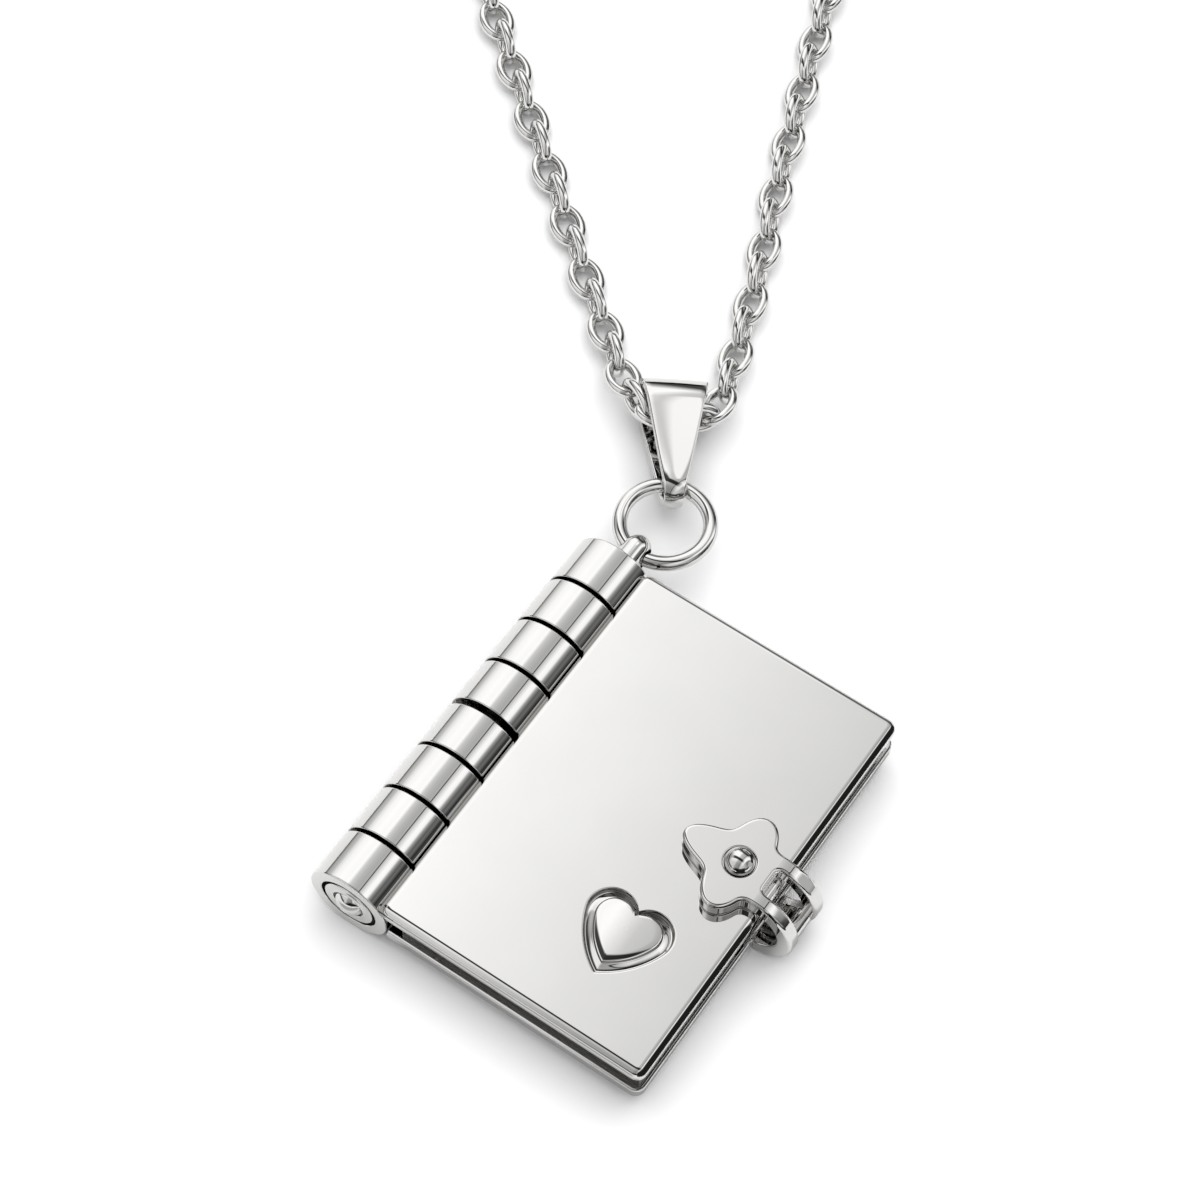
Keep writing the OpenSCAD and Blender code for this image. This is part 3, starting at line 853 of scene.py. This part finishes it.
class LOCKET_OT_spine_pin(PieceOperator, bpy.types.Operator):
    """Hinge pin with its flat head and dome"""
    bl_idname = "locket.spine_pin"
    bl_label = "Spine pin"

    def execute(self, context):
        self.gather(context)
        spine, end = self.spine, self.cover.long - self.spine.end_wall - 0.1
        dome, high, steps = spine.dome, spine.dome_high, 10
        big = (dome * dome + high * high) / (2 * high)
        profile = [(math.sqrt(max(0, big * big - (big - high + h) ** 2)), -h)
                   for h in [high * math.cos(math.pi / 2 * i / steps) for i in range(steps)]]
        profile[0] = (0, -high)
        corners = [(dome, 0.0, 0), (dome, 0.14, 0.02), (dome + 0.1, 0.14, 0.02), (dome + 0.12, -0.04, 0.03),
                   (dome + 0.3, 0.0, 0.05), (spine.head, 0, 0.06), (spine.head, spine.head_thick, 0.05),
                   (spine.pin, spine.head_thick, 0), (spine.pin, end, 0.2), (0, end, 0)]
        bm = lathe(profile + rounded_profile(corners))
        # Painted shade: the shaft beyond the head, seen in the knuckles' gaps, takes the darker steel
        shade([face for face in bm.faces if face.calc_center_median().z > 0.1])
        finish(bm, "spine_pin_turned", "back", "spine_pin", "bright_steel",
               self.book @ along_book(-spine.out, self.high.axis, 0))
        return {"FINISHED"}


def flap_outline(clasp, places, end):
    """The flower and the two bands of its strap, laid flat, round the fore end of the window."""
    def flower(turn):
        around = math.radians(turn)
        reach = clasp.flower + clasp.lobe * math.cos(4 * around)
        reach += clasp.tip * math.exp(-((turn - 180) / 17) ** 2)
        return reach * math.cos(around), reach * math.sin(around)

    half, gap = clasp.strap / 2, clasp.window / 2
    start = 60
    petals = [flower(turn) for turn in range(start, 361 - start, 2)]
    strap, corner = (1.75, half), (1.25, half)
    shoulder = []
    for i in range(6):
        t = i / 6
        shoulder.append(tuple((1 - t) ** 2 * a + 2 * t * (1 - t) * b + t * t * c
                              for a, b, c in zip(strap, corner, petals[0])))
    edge = places.curl_x + 0.05 - places.flower_x
    fillet = 0.3
    window = []
    for degrees in range(0, 91, 15):
        turn = math.radians(degrees)
        window.append((edge + fillet - fillet * math.sin(turn), -gap + fillet - fillet * math.cos(turn)))
    points = [(end, half)] + shoulder + petals + [(x, -y) for x, y in reversed(shoulder)] + [(end, -half), (end, -gap)]
    points += window + [(x, -y) for x, y in reversed(window)] + [(end, gap)]
    return [(x + places.flower_x, y + clasp.along) for x, y in points]


class LOCKET_OT_clasp_flap(PieceOperator, bpy.types.Operator):
    """Flower-shaped flap with its curled strap and cross bar"""
    bl_idname = "locket.clasp_flap"
    bl_label = "Clasp flap"

    def execute(self, context):
        self.gather(context)
        clasp, places = self.clasp, self.places
        tail = clasp.thick / 2
        path = places.low - places.curl_z + tail
        end = places.curl_x - places.flower_x + path * (math.pi / 2 + clasp.curl_end) + tail * 0.8
        outline = flap_outline(clasp, places, end)
        hollow = clasp.ball + clasp.recess + SUPPORT
        recess = circle_points(places.flower_x, clasp.along, hollow, 0, 360 - 360 / 48, 47)
        bm = slab(outline, places.low, places.top, 0.12, clasp.rim, discs=[recess])
        bm.normal_update()
        sunk = top_disc(bm, places.top)
        inset(bm, sunk, SUPPORT)
        lip, steps = 0.07, 4
        turn = math.pi / 2 / steps
        for i in range(steps):
            inset(bm, sunk, lip * (math.sin((i + 1) * turn) - math.sin(i * turn)),
                  -lip * (math.cos(i * turn) - math.cos((i + 1) * turn)))
        # Painted shade: the recess round the ball takes the darker steel
        shade(inset(bm, sunk, 0.005, -(clasp.thick - clasp.floor - lip)) + sunk)
        self.bend(bm, path)
        reach = 0.2
        wide = clasp.window + 2 * reach
        bar = lathe(rounded_profile([(0, 0, 0), (clasp.bar, 0, 0.08), (clasp.bar, wide, 0.08), (0, wide, 0)]), 32)
        join(bm, bar, along_book(places.bar_x, places.bar_z, clasp.along - clasp.window / 2 - reach))
        finish(bm, "clasp_flap_bent", "clasp", "clasp_flap", "bright_steel", self.book)
        return {"FINISHED"}

    def bend(self, bm, path):
        """Cuts the strap at even steps and bends it round the fore edge."""
        places = self.places
        steps = 30
        full = math.pi / 2 + self.clasp.curl_end
        for i in range(-1, steps):
            cut = places.curl_x + path * full * (i if i >= 0 else -0.15) / steps
            bmesh.ops.bisect_plane(bm, geom=bm.verts[:] + bm.edges[:] + bm.faces[:], dist=1e-6,
                                   plane_co=(cut, 0, 0), plane_no=(1, 0, 0))
        for vert in bm.verts:
            along = vert.co.x - places.curl_x
            if along > 0:
                turn = along / path
                radius = vert.co.z - places.curl_z
                vert.co.x = places.curl_x + radius * math.sin(turn)
                vert.co.z = places.curl_z + radius * math.cos(turn)


class LOCKET_OT_snap_ball(PieceOperator, bpy.types.Operator):
    """Ball in the middle of the flower, on the stem that snaps into the cover"""
    bl_idname = "locket.snap_ball"
    bl_label = "Snap ball"

    def execute(self, context):
        self.gather(context)
        clasp, places = self.clasp, self.places
        seat = places.low + clasp.floor + 0.02
        middle = places.top - clasp.sink
        tip = self.high.front - clasp.snap
        low_turn = math.asin((seat - middle) / clasp.ball)
        ball = [(clasp.ball * math.cos(t), middle + clasp.ball * math.sin(t))
                for t in [low_turn + (math.pi / 2 - low_turn) * i / 24 for i in range(25)]]
        ball[-1] = (0, middle + clasp.ball)
        stem = rounded_profile([(0, tip, 0), (clasp.stem, tip, 0.1), (clasp.stem, seat, 0)])
        finish(lathe(stem + ball), "snap_ball_turned", "clasp", "snap_ball", "bright_steel",
               self.book @ Matrix.Translation((places.flower_x, clasp.along, 0)))
        return {"FINISHED"}


class LOCKET_OT_jump_ring(PieceOperator, bpy.types.Operator):
    """Round jump ring in the lug"""
    bl_idname = "locket.jump_ring"
    bl_label = "Jump ring"

    def execute(self, context):
        self.gather(context)
        ring = self.ring
        bm = bmesh.new()
        place = Matrix.Translation((ring.radius - ring.wire, 0, 0)) @ Matrix.Rotation(math.pi / 2, 4, "X")
        bmesh.ops.create_circle(bm, segments=28, radius=ring.wire, matrix=place)
        finish(spin_round(bm, 128), "jump_ring_round", "back", "jump_ring", "bright_steel",
               Matrix.Translation(ring_middle()))
        return {"FINISHED"}


def teardrop_stations(ring):
    """Places and outward directions round the bail's inside: the tip's arc, the two leaves, the fold."""
    rise = ring.fold + ring.bail_thick + 0.35 - ring_middle().z
    tip = ring.wire + ring.play
    tilt = math.degrees(math.atan2(rise, ring.bail_long))
    spread = math.degrees(math.acos((ring.fold - tip) / math.hypot(ring.bail_long, rise)))
    stations = []

    def arc(y, z, radius, start, end, steps):
        for i in range(steps + 1):
            turn = math.radians(start + (end - start) * i / steps)
            out = (math.cos(turn), math.sin(turn))
            stations.append(((y + radius * out[0], z + radius * out[1]), out))

    def leaf(end):
        start, out = stations[-1]
        for i in range(1, 10):
            t = i / 10
            stations.append((tuple(a + (b - a) * t for a, b in zip(start, end)), out))

    arc(0, 0, tip, tilt + 180 - spread, tilt + 180 + spread, 14)
    fold_first = math.radians(tilt + spread - 180)
    leaf((ring.bail_long + ring.fold * math.cos(fold_first), rise + ring.fold * math.sin(fold_first)))
    arc(ring.bail_long, rise, ring.fold, tilt + spread - 180, tilt + 180 - spread, 26)
    leaf(stations[0][0])
    return stations


def strip_section(half, thick, bevel, crown):
    """The bail strip's section: softly crowned outside, flat inside, with rounded edges."""
    points = []
    for x, y, start in ((half - bevel, thick - bevel, 0), (bevel - half, thick - bevel, 90),
                        (bevel - half, bevel, 180), (half - bevel, bevel, 270)):
        points += circle_points(x, y, bevel, start, start + 90, 4)
        if start == 0:
            inner = half - bevel
            for i in range(1, 12):
                across = inner * (1 - 2 * i / 12)
                points.append((across, thick + crown * (1 - (across / inner) ** 2)))
    return points


class LOCKET_OT_bail(PieceOperator, bpy.types.Operator):
    """Tapered strip folded round the ring and the chain"""
    bl_idname = "locket.bail"
    bl_label = "Bail"

    def execute(self, context):
        self.gather(context)
        ring = self.ring
        low_y = -(ring.wire + ring.play + ring.bail_thick + 0.1)
        high_y = ring.bail_long + ring.fold + ring.bail_thick + 0.1
        rows = []
        for (y, z), out in teardrop_stations(ring):
            share = (y + out[0] * ring.bail_thick / 2 - low_y) / (high_y - low_y)
            half = (ring.bail_tip + (ring.bail_wide - ring.bail_tip) * share) / 2
            tip = max(0, 1 - share / 0.35)
            section = strip_section(half, ring.bail_thick, 0.1 + 0.05 * tip, 0.05 + 0.03 * tip)
            rows.append([(across, y + out[0] * off, z + out[1] * off) for across, off in section])
        finish(closed_skin(rows), "bail_folded", "back", "bail", "bright_steel", bail_matrix(ring))
        return {"FINISHED"}


def curve_point(a, b, c, d, t):
    return 0.5 * (2 * b + (c - a) * t + (2 * a - 5 * b + 4 * c - d) * t * t
                  + (3 * b - a - 3 * c + d) * t * t * t)


# Route of the chain from the middle of the bail's fold, as in the CAD source: x, y, height
ROUTE = [
    (6, 196, 1.5), (19, 193, 1.2), (33, 180, 1), (41, 158, 1), (41, 132, 1), (33, 102, 1), (20, 68, 1),
    (10.6, 41, 1), (6.4, 22, 1), (4.6, 11.2, 1), (3.5, 5.7, 1.1), (2.8, 2, 1.6), (1.8, -0.2, 1.9),
    (0, -0.3, 2.1), (-1.8, -0.2, 2.4), (-3, 2, 1.9), (-4.1, 5.7, 1.2), (-6.1, 11.5, 1), (-9.8, 22.5, 1),
    (-16.5, 42, 1), (-28, 73, 1), (-38, 104, 1), (-43, 134, 1), (-42, 160, 1), (-34, 181, 1),
    (-19, 193, 1.2), (-6, 196, 1.5),
]


def chain_route(ring):
    """The route as many close points in millimetres."""
    at = bail_matrix(ring).translation
    bend = Vector((at.x, at.y + ring.bail_long, 0))
    points = [Vector(p) for p in ROUTE]
    points = [points[0]] + points + [points[-1]]
    fine = []
    for i in range(1, len(points) - 2):
        for k in range(24):
            fine.append(bend + curve_point(*points[i - 1:i + 3], k / 24))
    fine.append(bend + points[-1])
    return fine


def even_places(points, pitch):
    """Places at an even distance, as close to the pitch as it comes out, along a run of points."""
    lengths = [0]
    for near, far in zip(points, points[1:]):
        lengths.append(lengths[-1] + (far - near).length)
    count = round(lengths[-1] / pitch)
    places, i = [], 0
    for k in range(count + 1):
        goal = lengths[-1] * k / count
        while i < len(points) - 2 and lengths[i + 1] < goal:
            i += 1
        share = (goal - lengths[i]) / (lengths[i + 1] - lengths[i])
        places.append(points[i].lerp(points[i + 1], share))
    return places


def link_mesh(links, round_steps, wire_sides):
    """One oval link in its own plane: length along x, width along y."""
    a, b = links.long / 2 - links.wire, links.wide / 2 - links.wire
    rows = []
    for i in range(round_steps):
        turn = 2 * math.pi * i / round_steps
        middle = Vector((a * math.cos(turn), b * math.sin(turn), 0))
        out = Vector((b * math.cos(turn), a * math.sin(turn), 0)).normalized()
        spins = [2 * math.pi * k / wire_sides for k in range(wire_sides)]
        rows.append([middle + links.wire * (math.cos(spin) * out + math.sin(spin) * UP) for spin in spins])
    return as_mesh(closed_skin(rows), "link")


# How far beyond the bail, in millimetres, the links are finely made, which is farther than the picture shows
FINE_RUN = 66
# Links whose middle is lower than this lie on the floor; the others hang in the bail or cross other links
FLOOR_RUN = 1.3
# Roll of the links in degrees, and what the two halves of the loop add to it and take from it
LEAN, SPLAY = -15, -7


class LOCKET_OT_chain(PieceOperator, bpy.types.Operator):
    """Oval cable links along the chain's route"""
    bl_idname = "locket.chain"
    bl_label = "Chain"

    def execute(self, context):
        self.gather(context)
        links = self.chain
        joints = even_places(chain_route(self.ring), links.long - 4 * links.wire)
        fine_end = bail_matrix(self.ring).translation.y + self.ring.bail_long + FINE_RUN
        near, far = link_mesh(links, 28, 12), link_mesh(links, 12, 5)
        bm = bmesh.new()
        for i, (start, end) in enumerate(zip(joints, joints[1:])):
            middle = (start + end) / 2
            along = (end - start).normalized()
            # From -1 in the left half to 1 in the right half, with a smooth change in the bail
            half = max(-1, min(1, (middle.x - 0.7) / 4))
            roll = math.radians(LEAN + SPLAY * half) + (math.pi / 2 if i % 2 else 0)
            rest = (links.wide / 2 - links.wire) * abs(math.sin(roll)) + links.wire
            if middle.z < FLOOR_RUN:
                middle.z += 0.6 * (rest - 1)
            side = along.cross(UP).normalized()
            across = side * math.cos(roll) + side.cross(along) * math.sin(roll)
            place = Matrix((along, across, along.cross(across))).transposed().to_4x4()
            link = bmesh.new()
            link.from_mesh(near if middle.y < fine_end else far)
            join(bm, link, Matrix.Translation(middle) @ place)
        bpy.data.meshes.remove(near)
        bpy.data.meshes.remove(far)
        finish(bm, "chain_links", "back", "chain", "chain_steel", Matrix.Identity(4))
        return {"FINISHED"}


class LOCKET_OT_chain_clasp(PieceOperator, bpy.types.Operator):
    """Barrel clasp that joins the chain's ends"""
    bl_idname = "locket.chain_clasp"
    bl_label = "Chain clasp"

    def execute(self, context):
        self.gather(context)
        long, out = self.chain.clasp_long, self.chain.clasp
        half = [(0, 0, 0), (0.75, 0, 0.2), (0.75, 0.7, 0.15), (1.15, 0.7, 0.15), (out, 1.5, 0.25),
                (out, 2.3, 0.06), (out - 0.15, 2.42, 0.06), (out - 0.15, 2.7, 0.06), (out, 2.82, 0.06),
                (out, long / 2 - 0.12, 0.06), (out - 0.12, long / 2, 0.04)]
        profile = half + [(radius, long - height, rounding) for radius, height, rounding in reversed(half[:-1])]
        low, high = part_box("chain_clasp")
        middle = (low + high) / (2 * MM)
        place = Matrix.Translation(middle - Vector((long / 2, 0, 0))) @ Matrix.Rotation(math.pi / 2, 4, "Y")
        finish(lathe(rounded_profile(profile), 48), "chain_clasp_barrel", "back", "chain_clasp", "chain_steel",
               place)
        return {"FINISHED"}


# Studio: the walls' brightness by direction, where -1 to 1 runs from the spine to the fore edge or from foot to head

WALLS_ACROSS = (
    (-0.95, 0.35), (-0.9, 0.5), (-0.86, 0.75), (-0.78, 0.93), (-0.6, 1.0), (-0.4, 0.96), (-0.28, 1.0), (-0.16, 0.6),
    (0.0, 0.47), (0.18, 0.4), (0.32, 0.45), (0.42, 0.7), (0.54, 0.97), (0.64, 0.93), (0.72, 0.75), (0.85, 0.7),
    (1.0, 0.6))
WALLS_ALONG = ((-1.0, 0.58), (-0.6, 0.6), (-0.25, 0.85), (-0.06, 0.85), (0.18, 1.0), (1.0, 1.0))
# Dark strips: the direction that crosses them (0 across, 1 along), their darkness, and how far they run the other way
DARK_STRIPS = (
    (0, ((0.28, 0), (0.29, 0.93), (0.315, 0.93), (0.33, 0)), ((-1.0, 1), (1.0, 1))),
    (0, ((0.65, 0), (0.72, 0.6), (0.79, 0.86), (0.84, 0.8), (0.89, 0.97), (0.95, 0.85), (1.0, 0.5)),
     ((-0.5, 0), (-0.1, 0.5), (0.2, 1), (0.62, 1), (0.8, 0))),
    (1, ((-0.19, 0), (-0.11, 0.95), (0.13, 0.95), (0.2, 0), (0.72, 0), (0.79, 0.5), (0.85, 0.94), (0.92, 0.94),
         (0.95, 0.5), (1.0, 0.4)),
     ((-0.95, 0), (-0.7, 1), (0.3, 1), (0.6, 0))),
)
# Darkness near the horizon: before the book on the fore side, and in a frieze all round with two gaps
LOW_ALONG = ((-1.0, 1), (-0.45, 1), (-0.2, 0))
LOW_ACROSS = ((-0.15, 0), (0.1, 1), (1.0, 1))
FRIEZE_ALONG = ((-1.0, 1), (0.22, 1), (0.31, 0), (0.54, 0), (0.62, 1))
FRIEZE_ACROSS = ((-1.0, 1), (-0.42, 1), (-0.35, 0), (-0.18, 0), (-0.1, 1))
# Lights: name, diameter and place in metres
LIGHTS = (("overhead", 2.4, (0.0, -0.06, 0.7)), ("key", 0.7, (0.08, 0.05, 0.6)))
LIT = Vector((0, -0.09, 0))


class LOCKET_OT_studio(PieceOperator, bpy.types.Operator):
    """Pale floor, soft white surroundings and the camera"""
    bl_idname = "locket.studio"
    bl_label = "Studio"

    def execute(self, context):
        scene = context.scene
        self.gather(context)
        self.floor(scene)
        self.surroundings(scene)
        self.lights(scene)
        self.panels()
        self.camera(scene)
        return {"FINISHED"}

    def floor(self, scene):
        """A pale, rough floor far beyond the necklace."""
        material, shader, place = new_material("white_sweep")
        colour = tuple(scene.locket_finish.floor)
        tone = shader.mix(shader.noise(place, 40, 2), (*colour, 1), (*[c * 0.995 for c in colour], 1))
        paper = shader.add("ShaderNodeBsdfPrincipled", None,
                           {"Base Color": tone, "Roughness": 1.0, "Specular IOR Level": 0.0})
        shader.add("ShaderNodeOutputMaterial", None, {"Surface": paper[0]})
        bm = bmesh.new()
        bmesh.ops.create_grid(bm, x_segments=8, y_segments=8, size=3)
        mesh = as_mesh(bm, "studio_floor")
        mesh.materials.append(material)
        add_object("studio_floor", mesh)

    def surroundings(self, scene):
        """A white room whose panels run along the book: brightest on the spine's side, darker at the fore edge."""
        world = bpy.data.worlds.new("studio")
        scene.world = world
        world.use_nodes = True
        shader = Shader(world.node_tree)
        view = shader.add("ShaderNodeTexCoord")["Generated"]
        axes = [shader.measure("DOT_PRODUCT", view, self.book.col[i].xyz) for i in range(2)]
        across, along = axes
        height = shader.add("ShaderNodeSeparateXYZ", None, {0: view})["Z"]
        bright = self.strips(shader, across, WALLS_ACROSS) * self.strips(shader, along, WALLS_ALONG)
        for axis, dark, window in DARK_STRIPS:
            shadow = self.strips(shader, axes[axis], dark) * self.strips(shader, axes[1 - axis], window)
            bright = bright * (1 - shadow)
        low = self.strips(shader, along, LOW_ALONG) * self.strips(shader, across, LOW_ACROSS)
        bright = bright * (1 - low * shader.ramp(height, 0.42, 0.3) * 0.92)
        frieze = self.strips(shader, along, FRIEZE_ALONG) * self.strips(shader, across, FRIEZE_ACROSS)
        bright = bright * (1 - frieze * shader.ramp(height, 0.26, 0.12) * 0.85)
        bright = bright * shader.ramp(height, 0.0, 0.16, 0.3, 1)
        strength = bright * scene.locket_finish.light
        sky = shader.add("ShaderNodeBackground", None, {"Strength": strength, "Color": (1, 1, 1, 1)})
        shader.add("ShaderNodeOutputWorld", None, {"Surface": sky[0]})
        world.cycles_visibility.diffuse = False
        scene.view_settings.view_transform = "Standard"
        scene.view_settings.look = "None"

    @staticmethod
    def strips(shader, along, stops):
        """Brightness along a direction from stops that run from -1 to 1."""
        colours = [((at + 1) / 2, (grey, grey, grey, 1)) for at, grey in stops]
        return shader.add("ShaderNodeValToRGB", {"stops": colours}, {0: (along + 1) * 0.5})["Color"]

    def lights(self, scene):
        """Soft lights that whiten the floor without a mirror image in the steel."""
        for name, size, place in LIGHTS:
            data = bpy.data.lights.new(name, "AREA")
            data.shape = "DISK"
            data.size = size
            data.energy = getattr(scene.locket_finish, name)
            lamp = add_object(name, data)
            lamp.location = place
            lamp.rotation_euler = (LIT - lamp.location).to_track_quat("-Z", "Y").to_euler()
            lamp.visible_glossy = False
            lamp.visible_camera = False

    def panels(self):
        """Soft-edged panels that only the polished faces mirror, round the book and over the bail: painted highlights
        on the clasp's curl and the bail, a painted dark reflection along the fore edge and painted contact shade round
        the book.
        """
        def spot(middle, out, full):
            """Shows a panel round a point: not at all beyond the outer radius, in full within the inner one."""
            return lambda shader, place: shader.ramp(shader.measure("DISTANCE", place, middle), out, full)

        # Painted highlight: a bright sheet that only mirrors show, lighting the clasp's curled bands
        beside = self.book @ Vector((20.5, 15.2, 6.5)) * MM
        self.panel("clasp_panel", 0.65, self.quad((21, 11.5, 2.5), (21, 19, 2.5), (20, 19, 11), (20, 11.5, 11)),
                   spot(beside, 0.0032, 0.0014))

        def fore_edge(shader, place):
            """A dark card along the fore edge, with a gap at the clasp, that paints a dark reflection in the steel."""
            _, y, z = self.in_book(shader, place)
            run = y - 12.9
            return shader.ramp(z, 6.4, 5.6) * shader.ramp(run * run, 1.75 ** 2, 2.1 ** 2)

        self.panel("fore_panel", 0.02, self.quad((17.6, -2, 3), (17.6, 28, 3), (17.6, 28, 6.4), (17.6, -2, 6.4)),
                   fore_edge)

        # Painted shade: a dim sheet on the floor that only mirrors show, standing for the contact shadow round the
        # book
        def mirrored_contact_shade(shader, place):
            """Painted contact shade that only mirrors show, close round the book, before its foot and under the clasp.
            """
            x, y, _ = self.in_book(shader, place)
            away = ((y + 0.9) * (-1 / 1.5)).largest(x - 16.9)
            away = away.largest((x - 1.5) * (-1 / 1.5)).largest((y - 25) * 2)
            near = shader.ramp(away, 1, 0, 0, 0.65)
            front = shader.ramp(y, -2.5, -5) * shader.ramp(y, -16, -14)
            front = front * shader.ramp(x, -8, -6) * shader.ramp(x, 18, 15)
            across, run = x - 19, y - 13.3
            clasp = shader.ramp(across * across + run * run, 3.2 ** 2, 1.0)
            return near.largest((front * 0.65).largest(clasp * 0.55))

        self.panel("floor_panel", 0.2, self.quad((-8, -16, 0.03), (22.5, -16, 0.03), (22.5, 26, 0.03), (-8, 26, 0.03)),
                   mirrored_contact_shade)

        # Painted highlight: a bright disc that only mirrors show, whitening the bail's front leaf
        middle = bail_matrix(self.ring).translation + Vector((0.3, self.ring.bail_long / 2, 4))
        above = (middle + Vector((0.26, 0.39, 0.88)) * 40) * MM
        bm = bmesh.new()
        bmesh.ops.create_circle(bm, cap_ends=True, segments=48, radius=0.010, matrix=Matrix.Translation(above))
        self.panel("bail_panel", 1.5, bm, spot(above, 0.0098, 0.0055))

    def quad(self, *corners):
        """A flat four-sided mesh with its corners in book coordinates."""
        bm = bmesh.new()
        bm.faces.new([bm.verts.new(self.book @ Vector(corner) * MM) for corner in corners])
        return bm

    def in_book(self, shader, place):
        """A point's book coordinates in millimetres."""
        found = []
        for i in range(3):
            axis = self.book.col[i].xyz
            dot = shader.measure("DOT_PRODUCT", place, axis / MM)
            found.append(dot - self.book.translation.dot(axis))
        return found

    def panel(self, name, strength, bm, cover):
        """A glowing sheet that only mirrors show, as far as its cover lets it: a painted reflection, light or dark."""
        material, shader, place = new_material(name)
        glow = shader.add("ShaderNodeEmission", None, {"Color": (1, 1, 1, 1), "Strength": strength})
        clear = shader.add("ShaderNodeBsdfTransparent")
        mixed = shader.add("ShaderNodeMixShader", None, {0: cover(shader, place), 1: clear[0], 2: glow[0]})
        shader.add("ShaderNodeOutputMaterial", None, {"Surface": mixed[0]})
        mesh = as_mesh(bm, name)
        mesh.materials.append(material)
        panel = add_object(name, mesh)
        for kind in ("camera", "diffuse", "shadow", "transmission"):
            setattr(panel, "visible_" + kind, False)

    def camera(self, scene):
        """The photo's view: from the locket's end of the necklace, steeply from above."""
        view = scene.locket_view
        data = bpy.data.cameras.new("camera")
        data.lens = view.lens
        data.sensor_width = 36
        data.clip_start = 0.005
        data.clip_end = 20
        camera = add_object("camera", data)
        back = Vector((0, -math.cos(view.elevation), math.sin(view.elevation)))
        right = Vector((1, 0, 0))
        top = back.cross(right)
        turned = right * math.cos(view.roll) + top * math.sin(view.roll)
        top = back.cross(turned)
        place = Matrix((turned, top, back)).transposed().to_4x4()
        place.translation = Vector(view.target) + back * view.distance
        camera.matrix_world = place
        scene.camera = camera


GROUPS = (
    ("locket_cover", LocketCoverSizes),
    ("locket_spine", LocketSpineSizes),
    ("locket_heart", LocketHeartSizes),
    ("locket_clasp", LocketClaspSizes),
    ("locket_ring", LocketRingSizes),
    ("locket_chain", LocketChainSizes),
    ("locket_finish", LocketFinish),
    ("locket_view", LocketView),
)
OPERATORS = (
    LOCKET_OT_studio,
    LOCKET_OT_back_cover,
    LOCKET_OT_front_cover,
    LOCKET_OT_spine_pin,
    LOCKET_OT_clasp_flap,
    LOCKET_OT_snap_ball,
    LOCKET_OT_jump_ring,
    LOCKET_OT_bail,
    LOCKET_OT_chain,
    LOCKET_OT_chain_clasp,
)


class LOCKET_PT_pieces(bpy.types.Panel):
    """Sizes and pieces of the locket"""
    bl_idname = "LOCKET_PT_pieces"
    bl_label = "Book locket"
    bl_space_type = "VIEW_3D"
    bl_region_type = "UI"
    bl_category = "Locket"

    def draw(self, context):
        for operator in OPERATORS:
            self.layout.operator(operator.bl_idname, text=operator.bl_label)
        for attribute, group in GROUPS:
            box = self.layout.box()
            box.label(text=attribute.replace("_", " ").capitalize())
            for name in group.__annotations__:
                box.prop(getattr(context.scene, attribute), name)


def register():
    for attribute, group in GROUPS:
        bpy.utils.register_class(group)
        setattr(bpy.types.Scene, attribute, PointerProperty(type=group))
    for operator in OPERATORS:
        bpy.utils.register_class(operator)
    bpy.utils.register_class(LOCKET_PT_pieces)


def unregister():
    bpy.utils.unregister_class(LOCKET_PT_pieces)
    for operator in reversed(OPERATORS):
        bpy.utils.unregister_class(operator)
    for attribute, group in reversed(GROUPS):
        delattr(bpy.types.Scene, attribute)
        bpy.utils.unregister_class(group)


def main():
    register()
    for operator in OPERATORS:
        group, name = operator.bl_idname.split(".")
        getattr(getattr(bpy.ops, group), name)()


if __name__ == "__main__":
    main()
